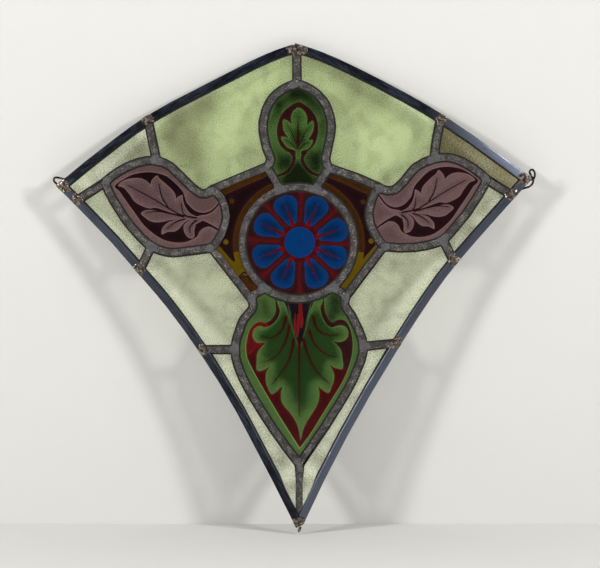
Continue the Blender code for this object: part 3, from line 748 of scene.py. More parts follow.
def solder_blob(mesh, leads, middle, outwards, seed, run):
    """A pool of solder over a joint, run out along each lead."""
    reaches = pool_reaches(leads, middle, seed, run * sizes().solder_reach / MM)
    made = bmesh.ops.create_uvsphere(mesh, u_segments=POOL_SIDES, v_segments=10, radius=1.0)
    surface = LEAD_FRONT if outwards < 0 else LEAD_BACK
    for vert in made["verts"]:
        angle = math.atan2(vert.co.y, vert.co.x) % (2.0 * math.pi)
        at = angle / (2.0 * math.pi) * POOL_SIDES
        near, far = [reaches[(int(at) + step) % POOL_SIDES] for step in (0, 1)]
        radius = near + (far - near) * (at % 1)
        across = math.hypot(vert.co.x, vert.co.y)
        spot = Vector((middle[0] + across * radius * math.cos(angle),
                       middle[1] + across * radius * math.sin(angle), 0.0))
        if vert.co.z > 0.0:
            height = vert.co.z ** 0.6 * (sizes().solder_rise / MM + SOLDER_SUNK)
            height *= 0.86 + 0.3 * noise.noise(spot * 0.45)
        else:
            height = vert.co.z * 0.3
        depth = surface + outwards * (min(height, SOLDER_MOST) - SOLDER_SUNK)
        vert.co = on_panel(spot.x, spot.y, depth)


def pane_outline(node):
    """The closed outline of a pane's front, as places on the cartoon."""
    mesh = merged_copy(node)
    front = flat_faces(mesh, -1.0, GLASS_FRONT)
    edges = [edge for edge in {edge for face in front for edge in face.edges}
             if sum(face in front for face in edge.link_faces) == 1]
    follow = {}
    for edge in edges:
        ends = tuple(edge.verts)
        for vert, other in (ends, ends[::-1]):
            follow.setdefault(vert, []).append(other)
    start = min(follow, key=lambda vert: (vert.co.x, vert.co.z))
    line = [start]
    before = None
    while True:
        ahead = [vert for vert in follow[line[-1]] if vert is not before]
        before = line[-1]
        if ahead[0] is start:
            break
        line.append(ahead[0])
    places = [on_sheet(vert.co) for vert in line]
    mesh.free()
    area = sum(a.x * b.y - b.x * a.y for a, b in zip(places, places[1:] + places[:1]))
    return places if area > 0.0 else places[::-1]


def distance_to(points, shapes, closed=True):
    """The distance from each point to the nearest side of any shape."""
    nearest = np.full(len(points), 1.0e3)
    for shape in shapes:
        ends = np.array([tuple(place) for place in shape])
        starts = ends if closed else ends[:-1]
        stops = np.roll(ends, -1, axis=0) if closed else ends[1:]
        along = stops - starts
        length = np.maximum((along ** 2).sum(1), 1.0e-9)
        offset = points[:, None, :] - starts[None, :, :]
        share = np.clip((offset * along).sum(2) / length, 0.0, 1.0)
        gap = offset - share[:, :, None] * along
        nearest = np.minimum(nearest, np.sqrt((gap ** 2).sum(2)).min(1))
    return nearest


def inside(points, shape):
    """Which points lie in a shape, by how often it winds round them."""
    ends = np.array([tuple(place) for place in shape])
    stops = np.roll(ends, -1, axis=0)
    winding = np.zeros(len(points), int)
    for (x0, y0), (x1, y1) in zip(ends, stops):
        side = (x1 - x0) * (points[:, 1] - y0) - (points[:, 0] - x0) * (y1 - y0)
        winding += (y0 <= points[:, 1]) & (y1 > points[:, 1]) & (side > 0.0)
        winding -= (y0 > points[:, 1]) & (y1 <= points[:, 1]) & (side < 0.0)
    return winding != 0


def shading_points(outline, grain):
    """Evenly spread points inside a pane, which carry its soft shading."""
    corners = np.array([tuple(place) for place in outline])
    low = corners.min(0)
    high = corners.max(0)
    rows = []
    row_height = grain * math.sqrt(0.75)
    for row in range(1, int((high[1] - low[1]) / row_height) + 1):
        shift = grain / 2.0 if row % 2 else 0.0
        for column in range(1, int((high[0] - low[0]) / grain) + 1):
            rows.append((low[0] + column * grain + shift, low[1] + row * row_height))
    spread = np.array(rows)
    kept = inside(spread, outline) & (distance_to(spread, [outline]) > grain * 0.4)
    return spread[kept]


def lay_paint(kinds, names, middles, layers):
    """Give the faces that each layer covers the paint of that layer."""
    for name, shape, *limits in layers:
        covered = inside(middles, shape)
        for limit in limits:
            covered &= inside(middles, limit)
        kinds[covered] = names.index(name)


def paint_edges(faces, kinds):
    """The sides of faces where one paint meets another, or where the pane ends."""
    beside = {}
    for face, kind in zip(faces.tolist(), kinds.tolist()):
        for first, second in zip(face, face[1:] + face[:1]):
            beside.setdefault((min(first, second), max(first, second)), []).append(kind)
    return [side for side, paints in beside.items()
            if len(paints) == 1 or paints[0] != paints[1]]


def thicken(mesh, depth):
    """Make a flat sheet solid, by this depth in millimetres towards the back."""
    grown = bmesh.ops.extrude_face_region(mesh, geom=mesh.faces[:], use_keep_orig=True)
    moved = [item for item in grown["geom"] if isinstance(item, bmesh.types.BMVert)]
    bmesh.ops.translate(mesh, verts=moved, vec=Vector((0.0, depth * MM, 0.0)))
    bmesh.ops.recalc_face_normals(mesh, faces=mesh.faces[:])


def divide_pane(outline, shapes, thin_shapes, grain):
    """Divide a pane, flat, along the shapes painted on it and between the points of its shading.
    Returns the places and the faces between them."""
    spread = shading_points(outline, grain)
    if len(spread) and shapes:
        spread = spread[distance_to(spread, shapes) > grain * 0.25]
    places = []
    edges = []
    for shape in [outline, *shapes, *thin_shapes]:
        start = len(places)
        places.extend(shape)
        edges.extend((start + index, start + (index + 1) % len(shape))
                     for index in range(len(shape)))
    places.extend(Vector(place) for place in spread)
    verts, _, faces, *_ = geometry.delaunay_2d_cdt(places, edges, [], 0, 1.0e-4, False)
    flat = np.array([tuple(vert) for vert in verts])
    faces = np.array(faces)
    return flat, faces[inside(flat[faces].mean(1), outline)]


def shading_values(flat, outline, edges_of_paint, veins, dusk):
    """What the glass reads at each place: its distance from the pane's rim, from the nearest edge
    of a paint and from a vein, and how thick the matt is, which on the pale panes is partly
    painted shadow."""
    values = {"rim": distance_to(flat, [outline]),
              "inwards": distance_to(flat, [flat[list(side)] for side in edges_of_paint], False),
              "from_vein": distance_to(flat, [smooth_line(line) for line in veins], False),
              "dusk": np.zeros(len(flat))}
    for x, y, radius, strength in dusk:
        away = np.hypot(flat[:, 0] - x, flat[:, 1] - y) / radius
        values["dusk"] += strength * np.exp(-away ** 2)
    return values


def pane_mesh(flat, faces, kinds, values):
    """A solid pane that carries its shading, with a paint on each face."""
    mesh = bmesh.new()
    carried = {name: mesh.verts.layers.float.new(name) for name in values}
    made = {}
    for index in np.unique(faces):
        made[index] = mesh.verts.new(on_panel(flat[index][0], flat[index][1], GLASS_FRONT))
        for name, value in values.items():
            made[index][carried[name]] = value[index]
    for corners, kind in zip(faces, kinds):
        face = mesh.faces.new([made[index] for index in corners])
        face.material_index = int(kind)
    thicken(mesh, GLASS_BACK - GLASS_FRONT)
    return mesh


def painted_pane(node, paints, layers, strokes=(), veins=(), dusk=(), grain_mm=None):
    """A pane of glass whose faces are divided, flat, into the shapes painted on it. The strokes lie
    over the layers and don't shade them. A layer may be held inside another shape. Each patch of
    dusk is a place, a radius and a strength."""
    outline = pane_outline(node)
    flat, faces = divide_pane(outline, [layer[1] for layer in layers],
                              [stroke[1] for stroke in strokes],
                              grain_mm or sizes().paint_grain / MM)
    middles = flat[faces].mean(1)
    kinds = np.zeros(len(faces), int)
    lay_paint(kinds, list(paints), middles, layers)
    edges_of_paint = paint_edges(faces, kinds)
    lay_paint(kinds, list(paints), middles, strokes)
    values = shading_values(flat, outline, edges_of_paint, veins, dusk)
    return finish_piece("pane_" + node, pane_mesh(flat, faces, kinds, values),
                        list(paints.values()), [node], flat=True)


def inset_line(outline, insets):
    """A closed line moved inwards, each side by its own distance."""
    count = len(outline)
    moved = []
    for index, place in enumerate(outline):
        incoming = (place - outline[index - 1]).normalized()
        outgoing = (outline[(index + 1) % count] - place).normalized()
        first = Vector((-incoming.y, incoming.x))
        second = Vector((-outgoing.y, outgoing.x))
        together = 1.0 + first.dot(second)
        near, far = insets[index - 1], insets[index]
        if together > SHARP_CORNER:
            moved.append(place + (first * near + second * far) / together)
        else:
            moved.append(place + (incoming - outgoing).normalized() * max(near, far) * CUT_OFF)
    return moved


def cement_bead(mesh, outline, edge_leads, front):
    """A bead of cement round a pane, from under the lead to just past its edge. The black strip past
    the lead is wide enough to paint the lead's shadow line on the glass too.
    """
    covers = []
    for place, following in zip(outline, outline[1:] + outline[:1]):
        middle = (place + following) / 2.0
        found = edge_leads.find_nearest(on_panel(middle.x, middle.y, GLASS_FRONT), 2.0 * MM)
        covers.append(COVER_EDGE if found[0] is not None else COVER_INNER)
    width = sizes().cement_and_shadow_width / MM
    glass = GLASS_FRONT if front else GLASS_BACK
    flange = FLANGE_INSIDE_FRONT if front else FLANGE_INSIDE_BACK
    lift = CEMENT_LIFT if front else -CEMENT_LIFT
    section = [(-CEMENT_UNDER, flange), (0.0, flange - lift), (width, glass - lift / 4.0),
               (width, glass + lift / 2.0), (-CEMENT_UNDER, glass + lift / 2.0)]
    loops = []
    for across, depth in section:
        line = inset_line(outline, [cover + across for cover in covers])
        loops.append([mesh.verts.new(on_panel(place.x, place.y, depth)) for place in line])
    for first, second in zip(loops, loops[1:] + loops[:1]):
        for at in range(-1, len(outline) - 1):
            mesh.faces.new((first[at], first[at + 1], second[at + 1], second[at]))


# Cartoon of the painted glass

LEAF_GROUND = [(115, 186), (125, 178.5), (135, 174), (150, 172.3), (165, 175.5), (175, 183),
               (183, 192), (187, 203), (194, 210.5), (203, 213), (212, 210), (219, 203.5),
               (218.5, 204.8), (212, 211.8), (203, 214.8), (197, 217), (203, 220.5), (211, 225),
               (219, 230), (219, 231), (211, 227), (205, 227.5), (200, 231), (197, 236.5),
               (190, 240.5), (182, 242.5), (172, 242), (162, 239), (152, 232.5), (143, 224),
               (135, 213), (127, 202), (120, 192)]
LEAF_LOBES = [
    [(118, 185.5), (125, 180), (135, 178), (143, 179), (150, 184), (157, 193), (168, 207),
     (180, 214), (172, 213), (157, 208), (150, 208.5), (143, 206.5), (135, 202), (130, 195),
     (124, 188)],
    [(157, 175.5), (160, 179), (166, 184), (172, 189.5), (175.5, 195), (176.5, 204), (180, 214),
     (170, 209), (160, 197), (152, 187), (151.5, 181)],
    [(182.5, 195), (183, 199), (185, 206), (190, 213), (197, 217), (190, 217), (181, 214),
     (176.5, 206), (176, 200), (178, 197)],
    [(141, 213.5), (145, 210.5), (150, 210), (157, 211), (170, 213), (183, 216), (190, 218),
     (178, 219.5), (170, 220), (165, 221.5), (157, 222.5), (150, 221), (145, 217.5)],
    [(162, 234.5), (162, 229), (165, 225), (170, 221.5), (180, 219.5), (190, 218.5), (184, 223),
     (180, 228), (175, 231.5), (168, 232)],
    [(192, 238.5), (187, 236.5), (184, 231), (184, 225), (190, 220), (197, 218), (204, 219),
     (203, 220.5), (197, 224), (194.5, 230), (194.5, 236)],
]
LEAF_STEM = [(222, 208), (212, 212.5), (204, 215.5), (196, 216.5), (188, 216), (188, 219.5),
             (197, 220), (204, 221), (212, 224.5), (222, 229)]
LEAF_TAILS = [
    ([(186, 203), (192.8, 210.6), (200.9, 213.8), (208, 213), (214.3, 209.1), (219, 203.4),
      (222.5, 199)], (1.5, 2.6, 2.4, 1.9, 1.6, 1.4, 1.2)),
    ([(196, 226), (203, 222.8), (210, 225.2), (219.5, 230.7), (224, 234)],
     (3.0, 3.0, 2.2, 1.7, 1.4)),
]
LEAF_VEINS = [
    [(128, 185.5), (150, 197), (170, 209), (181, 215), (197, 218)],
    [(159, 184), (162, 197), (168, 207)],
    [(181.5, 203), (183, 213), (188, 217)],
    [(146, 212.5), (158, 211.5), (172, 214), (184, 217)],
    [(167, 229), (176, 222), (185, 219)],
    [(190, 233), (190.5, 226), (197, 220)],
]

# Thicker and thinner matt on the two leaves: places, radii and strengths
LEAF_DUSK = {
    "glass_leaf_left": [(150, 170, 16, 0.8), (180, 178, 10, 0.8), (205, 200, 14, 0.9),
                        (165, 205, 12, 0.5)],
    "glass_leaf_right": [(455, 190, 24, -0.8), (470, 205, 14, -0.6), (420, 225, 20, -0.3)],
}

CROWN_OVAL = [(298.5, 102.2), (291.5, 105.5), (284, 111.5), (279.5, 119), (277.2, 128),
              (277.3, 136.5), (279.5, 144), (284, 149.5), (290, 153), (298, 156), (306, 152.5),
              (312.5, 147), (316.7, 139.5), (318.2, 129), (316.5, 118.5), (311.5, 110.5),
              (305, 105.2)]
CROWN_LEAF = [(298.5, 107.6), (293.5, 111), (291, 116.5), (291.3, 124), (288.5, 121.3),
              (283.3, 119.5), (282.8, 126), (284.2, 132), (288.5, 138.2), (285, 136.8),
              (280.8, 137.2), (283.5, 143), (288, 148), (295.5, 151), (295.3, 158), (301.5, 158),
              (301.2, 151.3), (307.5, 149.2), (311.3, 145), (312.8, 140.3), (308.4, 139.6),
              (311.5, 134.5), (313.8, 128), (313, 121), (309.2, 123), (307.3, 125.5),
              (307.2, 118), (304.5, 111.5)]
CROWN_LINES = [
    [(291, 152), (293.8, 156), (293.6, 161), (291, 167), (286.2, 172.4), (277.5, 176)],
    [(306, 152), (302.6, 156.5), (302.7, 161.5), (306.4, 168), (312, 173.2), (320.5, 175.8)],
]
CROWN_DUSK = [(298, 92, 14, 0.6), (315, 106, 13, 0.55), (281, 111, 12, 0.45), (314, 161, 13, 0.6),
              (298, 181, 15, 1.2), (283, 161, 12, 0.45), (298, 139, 10, 0.5), (325, 130, 12, 0.35)]
CROWN_VEINS = [
    [(298, 120), (298, 135), (297.8, 143), (297.6, 149)],
    [(287, 125), (292, 133), (296, 144)],
    [(310, 126), (304.5, 134), (299.5, 145)],
    [(285, 139.5), (291, 143.5), (296.5, 149)],
    [(309, 142), (303.5, 145), (299, 149.5)],
]

HEART_LEFT_EDGE = [(274.4, 296), (275.6, 310), (272.5, 318), (266, 322.6), (260, 321.6),
                   (254, 324.5), (249.5, 330), (247, 338), (245.7, 347), (247, 358),
                   (253.7, 372.2), (264, 390.6), (279, 415.9), (291, 435), (299.6, 448.5)]
HEART_RIGHT_EDGE = [(324.3, 296), (324.6, 309), (327.5, 317.5), (332.5, 322.4), (337, 319.9),
                    (343, 319.6), (348, 324), (351.6, 333), (353, 345), (351.5, 358),
                    (347, 372.3), (341.2, 384.4), (331.5, 400.2), (322, 415.5), (309.8, 435),
                    (299.6, 448.5)]
HEART_BRIGHT_RUBY = [(262, 321), (254, 324), (249.2, 330), (246.6, 338), (245.6, 346),
                     (247.5, 354), (252, 352), (258, 347), (266, 342.5), (272, 333), (268, 324)]
HEART_THROATS = [[(270, 294), (285, 294), (283, 317), (276, 322), (268, 319)],
                 [(315, 294), (327, 294), (330, 312), (346, 316), (358, 332), (358, 352),
                  (350, 367), (342, 370), (335, 366), (329, 358), (318, 330)]]
HEART_LEAF = [(279.3, 296), (280, 311), (276.5, 320), (270, 325.8), (265, 327.4),
              (259, 326), (254, 329.5), (252.5, 335), (254.5, 340.5), (259, 343), (266, 342),
              (261, 347.5), (257.5, 353), (256.6, 361), (257, 370.3), (263, 370.3), (269.5, 366.5),
              (266.3, 372), (265.7, 378.5), (267, 386), (271.6, 394.2), (277, 391), (282.2, 386.3),
              (281, 393), (281.2, 400.5), (284.5, 406.5), (290.5, 413.5), (296, 422), (299, 431),
              (300.6, 440), (303, 430.5), (307, 421.3), (312.5, 413), (317, 405), (319.3, 397),
              (319, 390), (318, 386.2), (323, 390.3), (328.6, 392.8), (332, 386), (334.3, 378),
              (333, 371), (329.5, 364.5), (334.5, 367.6), (342.7, 368.5), (342.3, 357.5),
              (340.8, 350), (336.5, 344.5), (333, 341.3), (339, 342), (344.5, 340.6), (348, 336),
              (347.4, 329), (342, 325.2), (336, 326), (332, 327.5), (326.5, 324), (322, 316),
              (320.3, 308), (320.2, 296)]
HEART_SHADOW = [(284.6, 296), (286.8, 308), (289.8, 318), (292.5, 327), (295.5, 337),
                (298.6, 346), (299.6, 349), (300.8, 345), (303.5, 335), (307, 322), (310.5, 310),
                (313.2, 303), (314.6, 296)]
HEART_GREEN_LIGHTS = [
    [(288.3, 305), (290.5, 316), (294.5, 328)],
    [(311.0, 303), (308.5, 314), (305, 325)],
    [(293.5, 318), (295.0, 328), (297.3, 340)],
]
HEART_STRIPES = [
    ([(300.2, 300), (300.6, 312), (301.6, 322), (301.2, 328)], (3.2, 3.8, 4.0, 1.2)),
    ([(298.2, 314), (298.0, 326), (297.4, 337)], (1.2, 3.6, 1.2)),
    ([(295.2, 313), (295.0, 323), (294.6, 334)], (0.6, 1.6, 0.8)),
]
HEART_DUSK = [(299, 345, 27, 1.0), (318, 326, 15, 0.9), (282, 326, 12, 0.7), (272, 346, 9, 0.5),
              (323, 346, 14, 0.6), (299, 374, 15, 0.45), (267, 337, 6, 0.4), (340, 300, 12, 0.4)]
HEART_VEINS = [
    [(299.3, 340), (299.2, 375), (299.3, 416)],
    [(294, 338), (291.5, 352), (287, 364), (280, 374), (272, 384.5)],
    [(289.5, 325), (287, 337), (282, 348), (275.5, 356.5), (264, 362)],
    [(286, 316), (283, 328), (277, 335), (270, 338), (262, 336.5)],
    [(303, 338), (307.5, 354), (315, 369), (322, 377), (329, 384)],
    [(309, 330), (313, 341), (320, 350), (328, 355), (336.5, 357)],
    [(313, 316), (316, 327), (323, 333.5), (331, 335.5), (338.5, 334.6)],
]

SPANDREL_LEFT_UPPER = ([(219, 194), (224, 192.2), (240, 185), (256, 178), (266, 173)],
                       (5.8, 5.8, 5.8, 6.2, 6.6))
SPANDREL_LEFT_LOWER = ([(216, 246.5), (226, 258.5), (236, 270), (246, 282)], (5.6, 6.2, 7.5, 8.0))
SPANDREL_LEFT_MEETING = [(234, 262), (238.5, 257), (244, 262), (246, 271), (240, 275), (234, 270)]
SPANDREL_RIGHT_UPPER = ([(328, 173.5), (340, 178), (352, 183), (364, 188.5), (374, 193)],
                        (7.4, 7.8, 8.2, 8.4, 8.4))
SPANDREL_RIGHT_LOWER = ([(380, 243), (370, 255.5), (360, 268), (343, 291)], (4.2, 5.6, 7.0, 8.5))
SPANDREL_RIGHT_MEETING = [(362, 259), (358, 252), (351, 262), (343, 277), (337, 287), (343, 292),
                          (352, 280)]
SPANDREL_DOTS = {"left": [(226, 242)], "right": [(371, 241)]}
SPANDREL_FAINT_DOTS = {"left": [(232, 201)], "right": [(363, 202)]}

# The broken corner of the left spandrel, and the dirt in its crack, which stands a little proud
CRACK = [(238.1, 277.3), (243.5, 272.2), (248.6, 274.0)]
CRACK_HALF_WIDTH = 0.85
CRACK_PROUD = 0.05
FRAGMENT_BIT = [(242, 269), (249, 269), (250, 275.2), (244.0, 275.6)]
FRAGMENT_RED = ([(242.8, 277.6), (244.6, 280.4), (246.6, 284.2), (250.4, 289.2), (253.4, 286.6)],
                (0.7, 1.0, 0.9))
FRAGMENT_SHADOW = ([(238, 279), (243, 277), (247, 276.3), (251, 279.5)], (1.6, 1.0, 1.2, 1.0))
FRAGMENT_SIDE = ([(240, 279), (244, 284), (250, 292)], (2.6, 1.6, 1.6))

# Darker patches on the pale panes: brown matt and dirt, and in places painted shadow of the leads
# # on the wall behind. Places, radii and strengths
MATT_AND_SHADOW_PATCHES = {
    "glass_top_left": [(176, 117, 16, 0.9), (188, 143, 19, 1.0), (196, 160, 13, 0.7),
                       (205, 106, 16, 1.0), (204, 176, 9, 0.6), (168, 138, 9, 0.5),
                       (250, 152, 13, 0.6)],
    "glass_top_right": [(318, 62, 12, 0.7), (338, 72, 12, 0.8), (356, 88, 15, 0.8),
                        (380, 101, 15, 0.8), (404, 116, 10, 0.5), (386, 177, 6, 0.9),
                        (338, 110, 14, 0.5), (361, 121, 13, 0.4)],
    "glass_upper_left": [(140, 151, 12, 0.8), (118, 156, 16, 0.45), (76, 190, 7, 0.7),
                         (96, 176, 12, 0.4)],
    "glass_upper_right": [(452, 140, 18, 0.6), (470, 155, 14, 0.2), (495, 172, 10, 0.2)],
    "glass_side_left": [(86, 203, 7, 0.7), (118, 244, 11, 0.6), (137, 258, 7, 0.6)],
    "glass_side_right": [(503, 192, 6, 0.6), (489, 210, 12, 0.4), (470, 232, 12, 0.7),
                         (455, 248, 8, 0.5)],
    "glass_lower_left": [(155, 262, 7, 0.5), (222, 262, 10, 0.5), (246, 298, 8, 0.5),
                         (232, 316, 9, 0.3)],
    "glass_lower_right": [(440, 254, 9, 0.6), (372, 262, 11, 0.5), (352, 300, 9, 0.4),
                          (386, 330, 9, 0.3)],
    "glass_foot_left": [(214, 358, 9, 0.5), (248, 402, 8, 0.4), (282, 462, 11, 0.7),
                        (292, 486, 8, 0.7)],
    "glass_foot_right": [(388, 352, 8, 0.5), (356, 398, 8, 0.4), (318, 458, 11, 0.7),
                         (306, 484, 8, 0.7)],
}


def mirrored(points):
    """The left leaf's places turned over for the right leaf, whose glass was cut a little shorter."""
    return [(478.0 - 0.935 * (x - 115.0), y - 5.5) for x, y in points]


def paint_leaves():
    """The two mauve panes with their leaves."""
    paints = {"mauve": mauve_glass(), "ground": dark_ground()}
    for node, turn in (("glass_leaf_left", list), ("glass_leaf_right", mirrored)):
        layers = [("ground", smooth_line(turn(LEAF_GROUND), True))]
        layers += [("mauve", smooth_line(turn(lobe), True)) for lobe in LEAF_LOBES]
        layers.append(("mauve", smooth_line(turn(LEAF_STEM), True)))
        layers += [("ground", brush_stroke(turn(line), widths)) for line, widths in LEAF_TAILS]
        veins = [turn(vein) for vein in LEAF_VEINS]
        strokes = [("ground", brush_stroke(vein, (0.8, 1.3, 1.7))) for vein in veins]
        painted_pane(node, paints, layers, strokes, veins, LEAF_DUSK[node])


def paint_crown():
    """The green pane at the top, with a small leaf in a dark oval."""
    paints = {"border": green_border_glass(), "line": maroon_line(), "leaf": green_leaf_glass(),
              "ruby": ruby_ground()}
    layers = [("line", smooth_line(CROWN_OVAL, True)),
              ("leaf", smooth_line(CROWN_LEAF, True, 4))]
    layers += [("line", brush_stroke(line, (3.4, 3.2, 3.2, 2.6))) for line in CROWN_LINES]
    strokes = [("line", brush_stroke(line, (0.4, 0.9, 1.1))) for line in CROWN_VEINS[1:]]
    strokes.append(("ruby", brush_stroke(CROWN_VEINS[0], (0.6, 2.2, 3.0, 1.0))))
    painted_pane("glass_crown", paints, layers, strokes, CROWN_VEINS, CROWN_DUSK)


def paint_heart():
    """The large green pane, with an acanthus leaf on a ruby ground."""
    paints = {"border": green_border_glass(), "ruby": ruby_ground(), "bright": clear_ruby(),
              "line": maroon_line(), "leaf": green_leaf_glass(), "indigo": indigo_shadow(),
              "wiped": wiped_green_line(), "scarlet": scarlet_stripe()}
    left_edge = smooth_line(HEART_LEFT_EDGE)
    right_edge = smooth_line(HEART_RIGHT_EDGE)
    ground = left_edge + right_edge[-2::-1]
    layers = [("ruby", ground),
              ("bright", smooth_line(HEART_BRIGHT_RUBY, True), ground),
              *(("line", smooth_line(throat, True), ground) for throat in HEART_THROATS),
              ("leaf", smooth_line(HEART_LEAF, True)),
              ("indigo", smooth_line(HEART_SHADOW, True))]
    strokes = [("leaf", brush_stroke(line, (0.4, 1.2, 0.4))) for line in HEART_GREEN_LIGHTS]
    strokes += [("ruby", brush_stroke(line, (3.2, 2.0, 1.4, 0.8))) for line in HEART_VEINS]
    strokes += [("wiped", brush_stroke(line, widths)) for line, widths in (
        (HEART_LEFT_EDGE, (0.1, 0.1, 1.0, 1.2)), (HEART_RIGHT_EDGE, (0.1, 0.1, 0.5, 0.7)))]
    strokes += [("scarlet", brush_stroke(line, widths)) for line, widths in HEART_STRIPES]
    painted_pane("glass_heart", paints, layers, strokes, HEART_VEINS, HEART_DUSK)


# The rosette was drawn by eye: its petals don't stand at even angles
PETAL_ANGLES = (17.9, 64.7, 111.0, 153.5, 200.5, 244.5, 295.5, 338.0)
PETAL = [(19.8, 4.0), (27.0, 7.2), (34.0, 10.2), (40.0, 11.8), (45.0, 10.2), (48.3, 5.8),
         (49.2, 0.0)]
SPOKE = [(17.0, 2.8), (30.0, 2.2), (42.0, 2.4), (47.0, 3.4), (51.0, 6.0)]
DART = [(16.5, 3.0), (23.0, 1.3), (33.0, 0.7), (43.5, 0.2), (43.5, -0.2), (33.0, -0.7),
        (23.0, -1.3), (16.5, -3.0)]


def spoke_point(radius, degrees, across=0.0):
    """A place on the rosette, by its distance out along a spoke and its step to the side."""
    angle = math.radians(degrees)
    out = Vector((math.cos(angle), -math.sin(angle)))
    return Vector(ROSETTE_MIDDLE) + out * radius + Vector((-out.y, out.x)) * across


def paint_rosette():
    """The rosette: eight blue petals round a boss, with ruby spokes between them."""
    paints = {"ground": maroon_line(), "blue": blue_enamel(), "red": ruby_ground(),
              "thin": thin_ruby(), "bright": clear_ruby()}
    dusk = [(*ROSETTE_MIDDLE, 13.0, -0.8)]
    layers = []
    strokes = []
    for middle, following in zip(PETAL_ANGLES, PETAL_ANGLES[1:] + (PETAL_ANGLES[0] + 360.0,)):
        between = (middle + following) / 2.0
        spoke = [spoke_point(radius, between) for radius, _ in SPOKE]
        layers.append(("thin", brush_stroke(spoke, [width for _, width in SPOKE])))
        side = [spoke_point(radius, middle, across) for radius, across in PETAL]
        other = [spoke_point(radius, middle, -across) for radius, across in PETAL[-2::-1]]
        layers.append(("blue", smooth_line(side + other, True, 4)))
        strokes.append(("bright",
                        [spoke_point(radius, middle, across) for radius, across in DART]))
        dusk.append((*spoke_point(31.0, middle), 8.0, 0.7))
    layers.append(("red", disc(ROSETTE_MIDDLE, 19.2, 40)))
    layers.append(("blue", disc(ROSETTE_MIDDLE, 15.4, 36)))
    painted_pane("glass_rosette", paints, layers, strokes, dusk=dusk)


def spandrel_layers(side):
    """The shapes painted on the dark pane at one side of the ring."""
    upper, lower, meeting, arc = {
        "left": (SPANDREL_LEFT_UPPER, SPANDREL_LEFT_LOWER, SPANDREL_LEFT_MEETING,
                 arc_line(RING_MIDDLE, 62.3, 112.0, 234.0)),
        "right": (SPANDREL_RIGHT_UPPER, SPANDREL_RIGHT_LOWER, SPANDREL_RIGHT_MEETING,
                  arc_line(RING_MIDDLE, 62.9, 68.0, -54.0))}[side]
    half = len(arc) // 2 + 3
    width = {"left": 5.8, "right": 7.6}[side]
    layers = [("brown", brush_stroke(*upper)),
              ("brown", brush_stroke(arc[:half + 1], (width, width))),
              ("amber", brush_stroke(arc[half:], (width, width))),
              ("amber", brush_stroke(*lower)),
              ("amber", meeting)]
    layers += [("amber", disc(middle, 2.6, 14)) for middle in SPANDREL_DOTS[side]]
    layers += [("brown", disc(middle, 2.6, 14)) for middle in SPANDREL_FAINT_DOTS[side]]
    return layers


def fill_crack():
    """Black dirt in the crack between the left spandrel and its broken corner."""
    mesh = bmesh.new()
    upper, lower = [[mesh.verts.new(on_panel(x, y + across, GLASS_FRONT - CRACK_PROUD))
                     for x, y in CRACK] for across in (CRACK_HALF_WIDTH, -CRACK_HALF_WIDTH)]
    for at in range(len(CRACK) - 1):
        mesh.faces.new((upper[at], upper[at + 1], lower[at + 1], lower[at]))
    thicken(mesh, GLASS_BACK - GLASS_FRONT + 2.0 * CRACK_PROUD)
    finish_piece("crack_dirt", mesh, [dark_ground()], flat=True)


def paint_spandrels():
    """The dark panes beside the ring, with stained bands that follow the leads."""
    paints = {"ground": dark_ground(), "amber": amber_stain(), "brown": brown_stain(),
              "red": ruby_ground()}
    for side in ("left", "right"):
        painted_pane("glass_spandrel_" + side, paints, spandrel_layers(side))
    stained = {name: paints[name] for name in ("brown", "amber", "red", "ground")}
    fragment = [("red", brush_stroke(*FRAGMENT_RED)), ("amber", FRAGMENT_BIT)]
    shadows = [("ground", brush_stroke(*FRAGMENT_SHADOW)),
               ("ground", brush_stroke(*FRAGMENT_SIDE))]
    painted_pane("glass_spandrel_left_fragment", stained, fragment, shadows)
    fill_crack()


def chord_turn(node):
    """The turn about the panel's depth that lays a pattern along a lead."""
    low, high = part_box(node)
    rise = high.z - low.z
    if node in ("edge_came_lower_left", "edge_came_upper_right"):
        rise = -rise
    return math.atan2(rise, high.x - low.x)


class GLASSPANEL_OT_leads(bpy.types.Operator):
    """Dress every lead came"""
    bl_idname = "glass_panel.leads"
    bl_label = "Leads"

    def execute(self, context):
        inner = old_lead()
        for node in sorted(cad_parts):
            if node.startswith("came_"):
                dress_lead(node, inner)
            elif node.startswith("edge_came_"):
                dress_lead(node, edge_lead(chord_turn(node)))
        return {"FINISHED"}


class GLASSPANEL_OT_solder(bpy.types.Operator):
    """Run solder over every joint, front and back"""
    bl_idname = "glass_panel.solder"
    bl_label = "Solder"

    def execute(self, context):
        leads = lead_tree("came")
        metals = [dull_solder(), solder()]
        for name, outwards in (("solder_joints_front", -1.0), ("solder_joints_back", 1.0)):
            mesh = bmesh.new()
            margin = mesh.verts.layers.float.new("margin")
            for index, (joint, middle) in enumerate(JOINTS.items()):
                done = len(mesh.faces)
                solder_blob(mesh, leads, middle, outwards, 3.7 * index + outwards,
                            LONG_RUNS.get(joint, 1.0))
                mesh.faces.ensure_lookup_table()
                for face in mesh.faces[done:]:
                    face.material_index = int(joint.startswith("edge_"))
            # A little of the grime and painted shade beside the glass lies on the solder too
            for vert in mesh.verts:
                vert[margin] = SOLDER_GRIME_AND_SHADE
            bmesh.ops.recalc_face_normals(mesh, faces=mesh.faces[:])
            finish_piece(name, mesh, metals)
        return {"FINISHED"}


class GLASSPANEL_OT_cement(bpy.types.Operator):
    """Press glazing cement round every pane but the left spandrel and its broken corner, front and
    back
    """
    bl_idname = "glass_panel.cement"
    bl_label = "Cement"

    def execute(self, context):
        filling = cement()
        edge_leads = lead_tree("edge_came")
        outlines = [pane_outline(node) for node in sorted(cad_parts)
                    if node.startswith("glass_") and "spandrel_left" not in node]
        for name, front in (("cement_front", True), ("cement_back", False)):
            mesh = bmesh.new()
            for outline in outlines:
                cement_bead(mesh, outline, edge_leads, front)
            bmesh.ops.recalc_face_normals(mesh, faces=mesh.faces[:])
            finish_piece(name, mesh, [filling])
        return {"FINISHED"}


